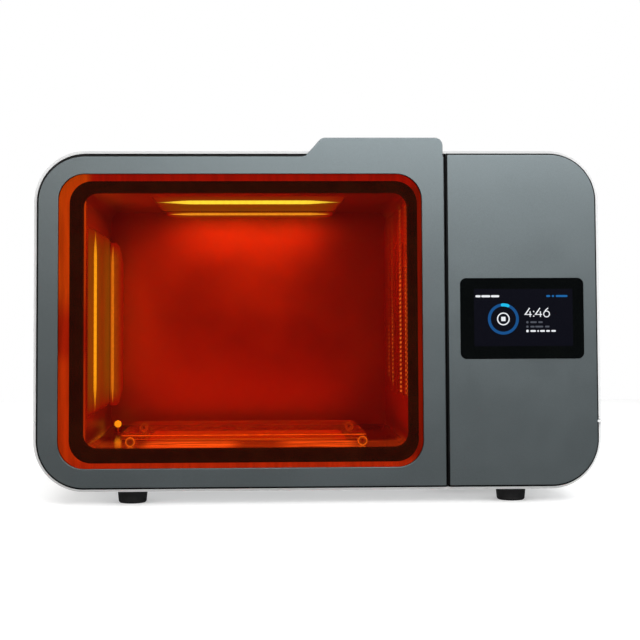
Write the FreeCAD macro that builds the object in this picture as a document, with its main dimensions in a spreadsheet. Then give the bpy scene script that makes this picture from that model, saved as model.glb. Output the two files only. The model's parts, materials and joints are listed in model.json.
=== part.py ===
import FreeCAD, Part
import math
import os
import Sketcher

# A bench-top curing chamber: a wide rounded box on four feet, with a hinged
# front door that holds an orange window on the left, and a control panel with
# a display on the right.  Millimetres.  +X right, +Y to the rear, +Z up; the
# origin is on the floor, under the middle of the bounding box.

V = FreeCAD.Vector
doc = FreeCAD.newDocument("curing_chamber")
sheet = doc.addObject("Spreadsheet::Sheet", "Sizes")


class Size:
    """A number together with the spreadsheet expression that gives it."""

    def __init__(self, value, text):
        self.v = float(value)
        self.t = text

    def __add__(self, o):
        o = size(o)
        return Size(self.v + o.v, "(%s + %s)" % (self.t, o.t))

    def __radd__(self, o):
        return size(o) + self

    def __sub__(self, o):
        o = size(o)
        return Size(self.v - o.v, "(%s - %s)" % (self.t, o.t))

    def __rsub__(self, o):
        return size(o) - self

    def __mul__(self, o):
        o = size(o)
        return Size(self.v * o.v, "(%s * %s)" % (self.t, o.t))

    def __rmul__(self, o):
        return size(o) * self

    def __truediv__(self, o):
        o = size(o)
        return Size(self.v / o.v, "(%s / %s)" % (self.t, o.t))

    def __neg__(self):
        return size(0) - self


def size(q):
    if isinstance(q, Size):
        return q
    text = "%.6g" % q
    return Size(q, text if q >= 0 else "(0 - %.6g)" % -q)


ROW = [1]


def dim(alias, value, note=""):
    r = ROW[0]
    sheet.set("A%d" % r, note or alias.replace("_", " "))
    sheet.set("B%d" % r, "%.6g" % value)
    sheet.setAlias("B%d" % r, alias)
    ROW[0] += 1
    return Size(value, "Sizes." + alias)


# ---------------------------------------------------------------- sizes
# depth planes, front to rear
face_front = dim("face_front", -173.0, "front of the two grey faces")
face_thick = dim("face_thick", 3.0, "thickness of the grey faces")
flange_thick = dim("flange_thick", 2.0, "black flange behind each face")
shell_front = dim("shell_front", -165.0, "front edge of the light shell")
shell_rear = dim("shell_rear", 168.0, "rear edge of the light shell")
pane_front = dim("pane_front", -166.5, "front of the window pane")
pane_thick = dim("pane_thick", 6.0, "thickness of the window pane")
retainer_thick = dim("retainer_thick", 2.0, "ring that clamps the pane")
gasket_gap = dim("gasket_gap", 0.3, "clearance between pane and gasket at rest")
flange_plane = dim("flange_plane", -151.0, "front of the liner flange")
sheet_metal = dim("sheet_metal", 1.0, "liner sheet thickness")
bulkhead_thick = dim("bulkhead_thick", 4.0, "front bulkhead thickness")
liner_back = dim("liner_back", 89.0, "inner face of the chamber back wall")
panel_rear_in = dim("panel_rear_in", 165.0, "inner face of the rear panel")
panel_rear_thick = dim("panel_rear_thick", 2.0, "rear panel thickness")

# outline of the shell and the faces
shell_half = dim("shell_half", 268.5, "half width of the shell")
shell_low = dim("shell_low", 12.9, "underside of the shell")
shell_high = dim("shell_high", 334.1, "top of the shell")
shell_round = dim("shell_round", 48.5, "shell corner radius")
shell_wall = dim("shell_wall", 2.5, "shell wall")
seam_height = dim("seam_height", 78.0, "seam between cover and base pan")
seam_gap = dim("seam_gap", 0.5, "width of the seam")
black_half = dim("black_half", 265.0, "half width of the black outline")
black_low = dim("black_low", 15.8, "bottom of the black outline")
black_high = dim("black_high", 331.2, "top of the black outline")
black_round = dim("black_round", 45.0, "corner radius of the black outline")
outline_step = dim("outline_step", 1.6, "black outline seen round the faces")
door_right = dim("door_right", 119.4, "right edge of the door face")
door_drop = dim("door_drop", 1.6, "top of the door below the top of the control face")
panel_left = dim("panel_left", 122.7, "left edge of the control face")
edge_step = dim("edge_step", 1.05, "black edge either side of the split")
tiny_round = dim("tiny_round", 1.2, "radius of the corners at the split")

# grip tab on the door
tab_foot = dim("tab_foot", -12.5, "where the slope of the tab starts")
tab_shoulder = dim("tab_shoulder", 3.5, "where the slope of the tab ends")
tab_high = dim("tab_high", 346.0, "top of the tab")
tab_right = dim("tab_right", 118.6, "right edge of the tab")
tab_round = dim("tab_round", 7.5, "corner radius of the tab")

# window
window_left = dim("window_left", -244.7, "window opening, left")
window_right = dim("window_right", 98.2, "window opening, right")
window_low = dim("window_low", 35.1, "window opening, bottom")
window_high = dim("window_high", 311.4, "window opening, top")
window_round = dim("window_round", 24.5, "window opening corner radius")
pane_lap = dim("pane_lap", 5.3, "pane behind the face, each side")
rib_left = dim("rib_left", -253.0, "left side of the deep door frame")
rib_right = dim("rib_right", 114.0, "right side of the deep door frame")
rib_low = dim("rib_low", 21.0, "underside of the deep door frame")
rib_high = dim("rib_high", 325.0, "top of the deep door frame")

# gasket and chamber
gasket_left = dim("gasket_left", -223.0, "gasket inner edge, left")
gasket_right = dim("gasket_right", 86.0, "gasket inner edge, right")
gasket_low = dim("gasket_low", 52.3, "gasket inner edge, bottom")
gasket_high = dim("gasket_high", 294.8, "gasket inner edge, top")
gasket_round = dim("gasket_round", 13.5, "gasket inner corner radius")
gasket_wide_left = dim("gasket_wide_left", 12.8, "gasket width, left")
gasket_wide_right = dim("gasket_wide_right", 9.4, "gasket width, right")
gasket_wide_low = dim("gasket_wide_low", 13.4, "gasket width, bottom")
gasket_wide_high = dim("gasket_wide_high", 11.2, "gasket width, top")
room_left = dim("room_left", -221.5, "chamber inner left wall")
room_right = dim("room_right", 89.7, "chamber inner right wall")
room_low = dim("room_low", 50.7, "chamber floor")
room_high = dim("room_high", 295.8, "chamber ceiling")
room_round = dim("room_round", 10.0, "chamber corner radius")

# hinge
hinge_x = dim("hinge_x", -262.0, "hinge axis, across")
hinge_y = dim("hinge_y", -159.0, "hinge axis, depth")
pin_radius = dim("pin_radius", 1.5, "hinge pin radius")
knuckle_radius = dim("knuckle_radius", 3.0, "hinge knuckle radius")
hinge_low = dim("hinge_low", 84.0, "middle of the lower hinge")
hinge_high = dim("hinge_high", 262.0, "middle of the upper hinge")

# display
display_left = dim("display_left", 134.1, "display glass, left")
display_right = dim("display_right", 251.2, "display glass, right")
display_low = dim("display_low", 136.0, "display glass, bottom")
display_high = dim("display_high", 212.1, "display glass, top")
display_round = dim("display_round", 5.6, "display glass corner radius")

# feet
foot_left = dim("foot_left", -177.4, "left pair of feet")
foot_right = dim("foot_right", 186.6, "right pair of feet")
foot_front = dim("foot_front", -138.0, "front pair of feet")
foot_rear = dim("foot_rear", 130.0, "rear pair of feet")
foot_top_radius = dim("foot_top_radius", 14.5, "foot radius at the top")
foot_low_radius = dim("foot_low_radius", 13.3, "foot radius at the floor")

# air system
blower_y = dim("blower_y", -28.0, "blower axis, depth")
blower_z = dim("blower_z", 180.0, "blower axis, height")
fan_x = dim("fan_x", -60.0, "cooling fan axis, across")
fan_z = dim("fan_z", 170.0, "cooling fan axis, height")
running_fit = dim("running_fit", 0.05, "radial running fit of shafts and pins")

# tray
tray_left = dim("tray_left", -192.0, "tray, left")
tray_right = dim("tray_right", 50.0, "tray, right")
tray_front = dim("tray_front", -118.0, "tray, front")
tray_rear = dim("tray_rear", 58.0, "tray, rear")
tray_top = dim("tray_top", 60.4, "tray, top")
tray_thick = dim("tray_thick", 3.0, "tray thickness")
roller = dim("roller", 4.6, "radius of the tray feet")

doc.recompute()

face_back = face_front + face_thick
flange_back = face_back + flange_thick
pane_back = pane_front + pane_thick
retainer_back = pane_back + retainer_thick
bulk_front = flange_plane + sheet_metal
bulk_back = bulk_front + bulkhead_thick
grey_low = black_low + outline_step
grey_high = black_high - outline_step
grey_left = outline_step - black_half
grey_right = black_half - outline_step
grey_round = black_round - outline_step
inner_half = shell_half - shell_wall
inner_low = shell_low + shell_wall
inner_high = shell_high - shell_wall
inner_round = shell_round - shell_wall
rear_out = panel_rear_in + panel_rear_thick

SUBPARTS = []
COUNT = [0]


def tag(kind):
    COUNT[0] += 1
    return "%s_%03d" % (kind, COUNT[0])


def refresh(body):
    doc.recompute(list(body.Group) + [body])


def bind(obj, prop, q):
    obj.setExpression(prop, size(q).t)


# ------------------------------------------------------- sketched bodies
def new_body(label):
    b = doc.addObject("PartDesign::Body", tag("body"))
    b.Label = label
    SUBPARTS.append(b)
    return b


def plane_of(body, role):
    for f in body.Origin.OriginFeatures:
        if f.Role == role:
            return f
    raise RuntimeError("no plane " + role)


def rounded(sk, a0, a1, b0, b1, radii):
    """A rectangle a0..a1 by b0..b1 with radii at low-right, high-right,
    high-left and low-left."""
    a0, a1, b0, b1 = size(a0), size(a1), size(b0), size(b1)
    if not isinstance(radii, (list, tuple)):
        radii = [radii] * 4
    ra, rb, rc, rd = [size(x) for x in radii]
    g = sk.GeometryCount
    up = V(0, 0, 1)

    def arc(cx, cy, r, d0):
        c = Part.Circle(V(cx, cy, 0), up, r)
        return Part.ArcOfCircle(c, math.radians(d0), math.radians(d0 + 90))

    sk.addGeometry(Part.LineSegment(V(a0.v + rd.v, b0.v, 0), V(a1.v - ra.v, b0.v, 0)), False)
    sk.addGeometry(arc(a1.v - ra.v, b0.v + ra.v, ra.v, -90), False)
    sk.addGeometry(Part.LineSegment(V(a1.v, b0.v + ra.v, 0), V(a1.v, b1.v - rb.v, 0)), False)
    sk.addGeometry(arc(a1.v - rb.v, b1.v - rb.v, rb.v, 0), False)
    sk.addGeometry(Part.LineSegment(V(a1.v - rb.v, b1.v, 0), V(a0.v + rc.v, b1.v, 0)), False)
    sk.addGeometry(arc(a0.v + rc.v, b1.v - rc.v, rc.v, 90), False)
    sk.addGeometry(Part.LineSegment(V(a0.v, b1.v - rc.v, 0), V(a0.v, b0.v + rd.v, 0)), False)
    sk.addGeometry(arc(a0.v + rd.v, b0.v + rd.v, rd.v, 180), False)
    C = Sketcher.Constraint
    for i in range(8):
        sk.addConstraint(C("Tangent", g + i, 2, g + (i + 1) % 8, 1))
    sk.addConstraint(C("Horizontal", g))
    sk.addConstraint(C("Vertical", g + 2))
    sk.addConstraint(C("Horizontal", g + 4))
    sk.addConstraint(C("Vertical", g + 6))
    for geo, r in ((g + 1, ra), (g + 3, rb), (g + 5, rc), (g + 7, rd)):
        i = sk.addConstraint(C("Radius", geo, r.v))
        sk.setExpression("Constraints[%d]" % i, r.t)
    for kind, geo, q in (
        ("DistanceX", g + 6, a0),
        ("DistanceX", g + 2, a1),
        ("DistanceY", g, b0),
        ("DistanceY", g + 4, b1),
    ):
        i = sk.addConstraint(C(kind, -1, 1, geo, 1, q.v))
        sk.setExpression("Constraints[%d]" % i, q.t)


def circle(sk, a, b, r):
    a, b, r = size(a), size(b), size(r)
    C = Sketcher.Constraint
    g = sk.addGeometry(Part.Circle(V(a.v, b.v, 0), V(0, 0, 1), r.v), False)
    for con, q in (
        (C("DistanceX", -1, 1, g, 3, a.v), a),
        (C("DistanceY", -1, 1, g, 3, b.v), b),
        (C("Radius", g, r.v), r),
    ):
        i = sk.addConstraint(con)
        sk.setExpression("Constraints[%d]" % i, q.t)


def polygon(sk, points):
    pts = [(size(a), size(b)) for a, b in points]
    C = Sketcher.Constraint
    g = sk.GeometryCount
    n = len(pts)
    for i in range(n):
        p, q = pts[i], pts[(i + 1) % n]
        sk.addGeometry(Part.LineSegment(V(p[0].v, p[1].v, 0), V(q[0].v, q[1].v, 0)), False)
    for i in range(n):
        sk.addConstraint(C("Coincident", g + i, 2, g + (i + 1) % n, 1))
    for i in range(n):
        for kind, q in (("DistanceX", pts[i][0]), ("DistanceY", pts[i][1])):
            k = sk.addConstraint(C(kind, -1, 1, g + i, 1, q.v))
            sk.setExpression("Constraints[%d]" % k, q.t)


DRAW = {"round": rounded, "circle": circle, "poly": lambda sk, *p: polygon(sk, p)}


def sketch(body, role, level, shapes):
    sk = body.newObject("Sketcher::SketchObject", tag("sketch"))
    sk.AttachmentSupport = [(plane_of(body, role), "")]
    sk.MapMode = "FlatFace"
    lv = size(level)
    if role == "XZ_Plane":
        lv = -lv
    sk.AttachmentOffset = FreeCAD.Placement(V(0, 0, lv.v), FreeCAD.Rotation())
    sk.setExpression("AttachmentOffset.Base.z", lv.t)
    for s in shapes:
        DRAW[s[0]](sk, *s[1:])
    return sk


def pad(body, role, start, end, *shapes):
    """Add the sketched outline between two levels of the plane's normal
    axis, start below end."""
    start, end = size(start), size(end)
    sk = sketch(body, role, end if role == "XZ_Plane" else start, shapes)
    f = body.newObject("PartDesign::Pad", tag("pad"))
    f.Profile = sk
    f.Length = end.v - start.v
    bind(f, "Length", end - start)
    body.Tip = f
    return f


def pocket(body, role, start, end, *shapes):
    start, end = size(start), size(end)
    sk = sketch(body, role, start if role == "XZ_Plane" else end, shapes)
    refresh(body)
    before = body.Shape.Volume
    f = body.newObject("PartDesign::Pocket", tag("pocket"))
    f.Profile = sk
    f.Length = end.v - start.v
    bind(f, "Length", end - start)
    body.Tip = f
    refresh(body)
    if not body.Shape.Volume < before - 0.01:
        raise RuntimeError("pocket cut nothing in " + body.Label)
    return f


def edges_where(shape, test):
    return ["Edge%d" % (i + 1) for i, e in enumerate(shape.Edges) if test(e)]


def fillet(body, radius, test):
    refresh(body)
    names = edges_where(body.Shape, test)
    if not names:
        raise RuntimeError("no edge to round in " + body.Label)
    below = body.Tip
    f = body.newObject("PartDesign::Fillet", tag("fillet"))
    f.Base = (below, names)
    f.Radius = size(radius).v
    bind(f, "Radius", radius)
    body.Tip = f
    refresh(body)
    return f


def along_y(e, x, z, tol=0.3):
    a, b = e.Vertexes[0].Point, e.Vertexes[-1].Point
    return (
        abs(a.x - b.x) < 1e-6 and abs(a.z - b.z) < 1e-6 and abs(a.y - b.y) > 0.5
        and abs(a.x - x) < tol and abs(a.z - z) < tol
    )


# --------------------------------------------------- primitives, booleans
def box(x0, x1, y0, y1, z0, z1):
    q = [size(x) for x in (x0, x1, y0, y1, z0, z1)]
    o = doc.addObject("Part::Box", tag("box"))
    bind(o, "Length", q[1] - q[0])
    bind(o, "Width", q[3] - q[2])
    bind(o, "Height", q[5] - q[4])
    bind(o, "Placement.Base.x", q[0])
    bind(o, "Placement.Base.y", q[2])
    bind(o, "Placement.Base.z", q[4])
    return o


ROT = {
    "z": FreeCAD.Rotation(),
    "x": FreeCAD.Rotation(V(0, 1, 0), 90),
    "y": FreeCAD.Rotation(V(1, 0, 0), -90),
}


def place(o, axis, x, y, z):
    o.Placement = FreeCAD.Placement(V(size(x).v, size(y).v, size(z).v), ROT[axis])
    bind(o, "Placement.Base.x", x)
    bind(o, "Placement.Base.y", y)
    bind(o, "Placement.Base.z", z)
    return o


def cyl(axis, x, y, z, r, length):
    o = doc.addObject("Part::Cylinder", tag("cyl"))
    bind(o, "Radius", r)
    bind(o, "Height", length)
    return place(o, axis, x, y, z)


def cone(axis, x, y, z, r_start, r_end, length):
    o = doc.addObject("Part::Cone", tag("cone"))
    bind(o, "Radius1", r_start)
    bind(o, "Radius2", r_end)
    bind(o, "Height", length)
    return place(o, axis, x, y, z)


def ball(x, y, z, r):
    o = doc.addObject("Part::Sphere", tag("ball"))
    bind(o, "Radius", r)
    return place(o, "z", x, y, z)


def ring(axis, x, y, z, r_path, r_tube):
    o = doc.addObject("Part::Torus", tag("ring"))
    bind(o, "Radius1", r_path)
    bind(o, "Radius2", r_tube)
    return place(o, axis, x, y, z)


def fuse(*parts):
    o = doc.addObject("Part::MultiFuse", tag("fuse"))
    o.Shapes = list(parts)
    return o


def cut(base, *tools):
    tool = tools[0] if len(tools) == 1 else group(*tools)
    o = doc.addObject("Part::Cut", tag("cut"))
    o.Base = base
    o.Tool = tool
    return o


def group(*parts):
    o = doc.addObject("Part::Compound", tag("group"))
    o.Links = list(parts)
    return o


def node(label, o):
    o.Label = label
    SUBPARTS.append(o)
    return o


def screw(axis, x, y, z, head_r, head_t, shank_r, shank_l, flip=False):
    """A pan head with its shank.  The head's outer face is at x, y, z and the
    shank runs along +axis, or along -axis when flip is set."""
    x, y, z = size(x), size(y), size(z)

    def at(d, r, length):
        d0 = -(size(d) + length) if flip else size(d)
        p = [x, y, z]
        k = "xyz".index(axis)
        p[k] = p[k] + d0
        return cyl(axis, p[0], p[1], p[2], r, length)

    return fuse(at(0, head_r, head_t), at(head_t, shank_r, shank_l))


# ================================================================ shell
# light shell: an open-ended rounded tube, split at the seam
cover = new_body("outer_cover")
pad(cover, "XZ_Plane", shell_front, shell_rear,
    ("round", -shell_half, shell_half, shell_low, shell_high, shell_round),
    ("round", -inner_half, inner_half, inner_low, inner_high, inner_round))
pocket(cover, "XZ_Plane", shell_front - 5, shell_rear + 5,
       ("round", -(shell_half + 10), shell_half + 10, shell_low - 10, seam_height + seam_gap / 2, 1))

pan = new_body("base_pan")
pad(pan, "XZ_Plane", shell_front, shell_rear,
    ("round", -shell_half, shell_half, shell_low, shell_high, shell_round),
    ("round", -inner_half, inner_half, inner_low, inner_high, inner_round))
pocket(pan, "XZ_Plane", shell_front - 5, shell_rear + 5,
       ("round", -(shell_half + 10), shell_half + 10, seam_height - seam_gap / 2, shell_high + 10, 1))
# small light key at the right front end of the seam
pad(pan, "XZ_Plane", face_front + 2, shell_front,
    ("round", black_half - 1.4, shell_half, seam_height - 2.2, seam_height - seam_gap / 2, 0.4))
# screw holes of the feet and the air intake slots under the electronics bay
pocket(pan, "XY_Plane", shell_low - 1, inner_low + 1,
       *[("circle", fx, fy, 2.2) for fx in (foot_left, foot_right) for fy in (foot_front, foot_rear)])
pocket(pan, "XY_Plane", shell_low - 1, inner_low + 1,
       *[("round", 120 + 12 * i, 125 + 12 * i, -90, -10, 2.4) for i in range(8)])

rear = new_body("rear_panel")
pad(rear, "XZ_Plane", panel_rear_in, rear_out,
    ("round", -(inner_half - 0.3), inner_half - 0.3, inner_low + 0.3, inner_high - 0.3, inner_round - 0.3))
pocket(rear, "XZ_Plane", panel_rear_in - 1, rear_out + 1,
       ("circle", fan_x, fan_z, 38),
       ("round", 192, 220, 34, 56, 2),
       ("round", 150, 170, 35, 55, 1))
pocket(rear, "XZ_Plane", panel_rear_in - 1, rear_out + 1,
       *[("round", 125 + 10 * i, 129 + 10 * i, 220, 290, 1.9) for i in range(12)])
pocket(rear, "XZ_Plane", panel_rear_in - 1, rear_out + 1,
       *[("round", -230 + 10 * i, -226 + 10 * i, 60, 120, 1.9) for i in range(9)])

# ---------------------------------------------------------- front frame
bulk = new_body("front_bulkhead")
pad(bulk, "XZ_Plane", bulk_front, bulk_back,
    ("round", -(inner_half - 0.5), inner_half - 0.5, inner_low + 0.5, inner_high - 0.5, inner_round - 0.5),
    ("round", room_left - 2.2, room_right + 2.2, room_low - 2.2, room_high + 2.2, room_round + 2),
    ("round", 150, 235, 95, 125, 4))

# grey control face and the black housing behind it
face = new_body("control_panel_plate")
pad(face, "XZ_Plane", face_front, face_back,
    ("round", panel_left, grey_right, grey_low, grey_high, [grey_round, grey_round, tiny_round, tiny_round]),
    ("round", display_left - 0.25, display_right + 0.25, display_low - 0.25, display_high + 0.25, display_round + 0.25))
fillet(face, 0.5, lambda e: all(abs(v.Point.y - face_front.v) < 1e-6 for v in e.Vertexes)
       and e.BoundBox.YLength < 1e-6 and not (display_left.v - 1 < e.BoundBox.Center.x < display_right.v + 1
       and display_low.v - 1 < e.BoundBox.Center.z < display_high.v + 1))

backing = new_body("control_panel_backing")
pad(backing, "XZ_Plane", face_back, flange_back,
    ("round", panel_left - edge_step, black_half, black_low, black_high, [black_round, black_round, tiny_round, tiny_round]),
    ("round", display_left + 2.5, display_right - 2.5, display_low + 2.5, display_high - 2.5, 3))
pad(backing, "XZ_Plane", flange_back, bulk_front,
    ("round", panel_left - edge_step + 0.6, inner_half - 0.6, inner_low + 0.6, inner_high - 0.6, [inner_round - 0.6, inner_round - 0.6, tiny_round, tiny_round]),
    ("round", panel_left - edge_step + 3.1, inner_half - 3.1, inner_low + 3.1, inner_high - 3.1, [inner_round - 3.1, inner_round - 3.1, tiny_round, tiny_round]))
pocket(backing, "XZ_Plane", face_back - 1, shell_front + 0.3,
       ("round", black_half - 1.8, black_half + 3, seam_height - 2.6, seam_height + 0.15, 0.4))

glass = new_body("display_glass")
pad(glass, "XZ_Plane", face_front, face_front + 2,
    ("round", display_left, display_right, display_low, display_high, display_round))

module = new_body("display_module")
pad(module, "XZ_Plane", face_front + 2, face_front + 9,
    ("round", display_left + 4, display_right - 4, display_low + 4, display_high - 4, 2))

node("display_board", fuse(
    box(display_left + 8, display_right - 8, face_front + 12, face_front + 13.6, display_low + 6, display_high - 6),
    box(display_left + 20, display_left + 44, face_front + 13.6, face_front + 17, display_low + 14, display_low + 30),
    box(display_left + 60, display_left + 76, face_front + 13.6, face_front + 19, display_low + 20, display_low + 26),
    *[cyl("y", a, face_front + 9, b, 2, 3) for a in (display_left + 12, display_right - 12)
      for b in (display_low + 10, display_high - 10)]))

# ================================================================ door
door_high = grey_high - door_drop
plate = new_body("door_plate")
pad(plate, "XZ_Plane", face_front, face_back,
    ("round", grey_left, door_right, grey_low, door_high, [tiny_round, tiny_round, grey_round, grey_round]))
pad(plate, "XZ_Plane", face_front, face_back,
    ("poly", (tab_foot, door_high), (tab_foot - 8, door_high - 6), (door_right, door_high - 6),
     (door_right, door_high - 2), (tab_right, door_high + 1.6), (tab_right, tab_high),
     (tab_shoulder, tab_high)))
fillet(plate, tab_round, lambda e: along_y(e, tab_shoulder.v, tab_high.v) or along_y(e, tab_right.v, tab_high.v)
       or along_y(e, tab_foot.v, door_high.v))
pocket(plate, "XZ_Plane", face_front - 1, face_back + 1,
       ("round", window_left, window_right, window_low, window_high, window_round))
fillet(plate, 0.5, lambda e: e.BoundBox.YLength < 1e-6 and abs(e.BoundBox.YMin - face_front.v) < 1e-6)

frame = new_body("door_frame")
win = ("round", window_left - 1.3, window_right + 1.3, window_low - 1.3, window_high + 1.3, window_round + 1.3)
pad(frame, "XZ_Plane", face_back, flange_back,
    ("round", -black_half, door_right + edge_step, black_low, black_high - door_drop, [tiny_round, tiny_round, black_round, black_round]), win)
pad(frame, "XZ_Plane", flange_back, pane_back,
    ("round", rib_left, rib_right, rib_low, rib_high, [6, 6, 37, 37]), win)
pocket(frame, "XZ_Plane", pane_front - 0.05, pane_back + 1,
       ("round", window_left - pane_lap - 0.2, window_right + pane_lap + 0.2, window_low - pane_lap - 0.2,
        window_high + pane_lap + 0.2, window_round + pane_lap))

pane = new_body("window_pane")
pad(pane, "XZ_Plane", pane_front, pane_back,
    ("round", window_left - pane_lap, window_right + pane_lap, window_low - pane_lap,
     window_high + pane_lap, window_round + pane_lap))

retainer = new_body("pane_retainer")
pad(retainer, "XZ_Plane", pane_back, retainer_back,
    ("round", rib_left, rib_right, rib_low, rib_high, [6, 6, 37, 37]), win)

hole_z = [("circle", rib_right - 4.6, 60 + 58 * i, 1.6) for i in range(5)]
pocket(retainer, "XZ_Plane", pane_back - 0.5, retainer_back + 0.5, *hole_z)
pocket(frame, "XZ_Plane", pane_back - 5, pane_back + 0.5,
       *[("circle", rib_right - 4.6, 60 + 58 * i, 1.3) for i in range(5)])

# steel straps of the door half of the hinges, a knuckle and a flat arm each
straps = new_body("door_hinge_straps")
for k, mid in enumerate((hinge_low, hinge_high)):
    pad(straps, "XY_Plane", mid - 7, mid + 7,
        ("circle", hinge_x, hinge_y, knuckle_radius), ("circle", hinge_x, hinge_y, pin_radius + running_fit))
    pad(straps, "XY_Plane", mid - 7, mid + 7,
        ("poly", (hinge_x + 1.4, retainer_back), (window_left - 1.6, retainer_back),
         (window_left - 1.6, retainer_back + 2), (hinge_x + 2.0, retainer_back + 2)))
    pad(straps, "XZ_Plane", retainer_back, retainer_back + 2,
        ("round", rib_left + 0.3, window_left - 1.6, mid - 16, mid + 16, 1.5))
pocket(straps, "XZ_Plane", retainer_back - 0.5, retainer_back + 2.5,
       *[("circle", -249.4, mid + s * 12, 1.3) for mid in (hinge_low, hinge_high) for s in (-1, 1)])
node("door_screws", group(*[
    screw("y", rib_right - 4.6, retainer_back + 1.2, 60 + 58 * i, 2.6, 1.2, 1.25, 5.5, flip=True)
    for i in range(5)], *[
    cyl("y", -249.4, retainer_back, mid + s * 12, 1.25, 2.8)
    for mid in (hinge_low, hinge_high) for s in (-1, 1)]))

node("strike_plates", group(*[
    box(rib_right - 9, rib_right - 1, retainer_back, retainer_back + 1.6, c - 12, c + 12) for c in (89, 263)]))
node("sensor_magnet", box(rib_right - 8, rib_right - 2, retainer_back, retainer_back + 2, 198, 208))

# ======================================================= hinge on chassis
brackets = new_body("hinge_brackets")
for mid in (hinge_low, hinge_high):
    for s in (-1, 1):
        lo = mid + (s * 7.3 if s > 0 else -14.3)
        pad(brackets, "XY_Plane", lo, lo + 7,
            ("circle", hinge_x, hinge_y, knuckle_radius), ("circle", hinge_x, hinge_y, pin_radius))
        pad(brackets, "XY_Plane", lo, lo + 7,
            ("poly", (hinge_x - 2.2, hinge_y + 2.0), (hinge_x + 2.2, hinge_y + 2.0),
             (hinge_x + 2.2, bulk_front - 1.8), (hinge_x - 2.2, bulk_front - 1.8)))
    pad(brackets, "XZ_Plane", bulk_front - 2, bulk_front,
        ("round", hinge_x - 3, hinge_x + 8, mid - 16, mid + 16, 1.5))
node("hinge_pins", group(*[
    fuse(cyl("z", hinge_x, hinge_y, mid - 15.3, pin_radius, 30.6),
         cyl("z", hinge_x, hinge_y, mid + 14.3, pin_radius + 0.8, 1.2)) for mid in (hinge_low, hinge_high)]))

# ============================================================== chamber
liner = new_body("chamber_liner")
pad(liner, "XZ_Plane", flange_plane, liner_back + sheet_metal,
    ("round", room_left - sheet_metal, room_right + sheet_metal, room_low - sheet_metal,
     room_high + sheet_metal, room_round + sheet_metal))
pad(liner, "XZ_Plane", flange_plane, bulk_front,
    ("round", -251.8, 102, 24, 322, [8, 8, 30, 30]))
pocket(liner, "XZ_Plane", flange_plane - 1, liner_back,
       ("round", room_left, room_right, room_low, room_high, room_round))
ceiling_hole = (-162.0, 31.0, -110.0, 80.0)
floor_hole = (-170.0, 35.0, -60.0, 70.0)
left_hole = (-132.0, 80.0, 80.6, 265.0)
pocket(liner, "XY_Plane", room_high - 2, room_high + 2, ("round",) + ceiling_hole + (6,))
pocket(liner, "XY_Plane", room_low - 2, room_low + 2, ("round",) + floor_hole + (6,))
pocket(liner, "YZ_Plane", room_left - 2, room_left + 2, ("round",) + left_hole + (6,))
pocket(liner, "YZ_Plane", room_right - 2, room_right + 2,
       *[("round", c - 4, c + 4, 95, 251, 3.9) for c in (-85, -20, 22)])

gasket = new_body("door_gasket")
pad(gasket, "XZ_Plane", pane_back + gasket_gap, flange_plane,
    ("round", gasket_left - gasket_wide_left, gasket_right + gasket_wide_right,
     gasket_low - gasket_wide_low, gasket_high + gasket_wide_high, gasket_round + 8),
    ("round", gasket_left, gasket_right, gasket_low, gasket_high, gasket_round))
fillet(gasket, 2.5, lambda e: e.BoundBox.YLength < 1e-6 and abs(e.BoundBox.YMin - (pane_back.v + gasket_gap.v)) < 1e-6)

rails = []
for c in (-200, 66):
    rails.append(cut(box(c - 12, c + 12, -140, 84, inner_low, room_low - sheet_metal),
                     box(c - 10.5, c + 14, -141, 85, inner_low + 1.5, room_low - sheet_metal - 1.5)))
node("support_rails", group(*rails))

node("rear_insulation", box(-214, 82, liner_back + sheet_metal, liner_back + 13, 58, 289))


# light units: window, light box, lamp board and finned heat sink on the
# ceiling, on the left wall and under the floor
def fins(axis, a0, a1, b0, b1, base0, base1, top, pitch, orient):
    parts = []
    n = int((a1 - a0) // pitch)
    lo, hi = min(base1, top), max(base1, top)
    for i in range(n + 1):
        a = a0 + 1 + i * (a1 - a0 - 2) / n
        if orient == "ceiling":
            parts.append(box(a - 0.8, a + 0.8, b0, b1, lo - 0.2 if top > base1 else lo, hi if top > base1 else hi + 0.2))
        else:
            parts.append(box(lo if top < base1 else lo - 0.2, hi + 0.2 if top < base1 else hi, a - 0.8, a + 0.8, b0, b1))
    if orient == "ceiling":
        parts.append(box(a0, a1, b0, b1, min(base0, base1), max(base0, base1)))
    else:
        parts.append(box(min(base0, base1), max(base0, base1), a0, a1, b0, b1))
    return fuse(*parts)


def lamps(xs, ys, z, h, inward):
    return [cone("z", x, y, z if inward > 0 else z - h, 2.6 if inward > 0 else 1.6,
                 1.6 if inward > 0 else 2.6, h) for x in xs for y in ys]


def spread(a, b, n):
    return [a + (b - a) * (i + 0.5) / n for i in range(n)]


# ceiling
z0 = room_high + sheet_metal
lens = new_body("ceiling_window")
pad(lens, "XY_Plane", z0, z0 + 3, ("round", -169, 38, -117, 87, 5))
lightbox = new_body("ceiling_light_box")
pad(lightbox, "XY_Plane", z0 + 3, z0 + 12, ("round", -166, 35, -114, 84, 5), ("round", -162, 31, -110, 80, 3))
node("ceiling_lamp_board", fuse(
    box(-166, 35, -114, 84, z0 + 12, z0 + 13.6),
    *lamps(spread(-160, 29, 8), spread(-108, 78, 8), z0 + 12.2, 2.4, -1)))
node("ceiling_heat_sink", fins("z", -150, 20, -104, 76, z0.v + 13.6, z0.v + 16.6, z0.v + 29, 8.0, "ceiling"))
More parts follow.
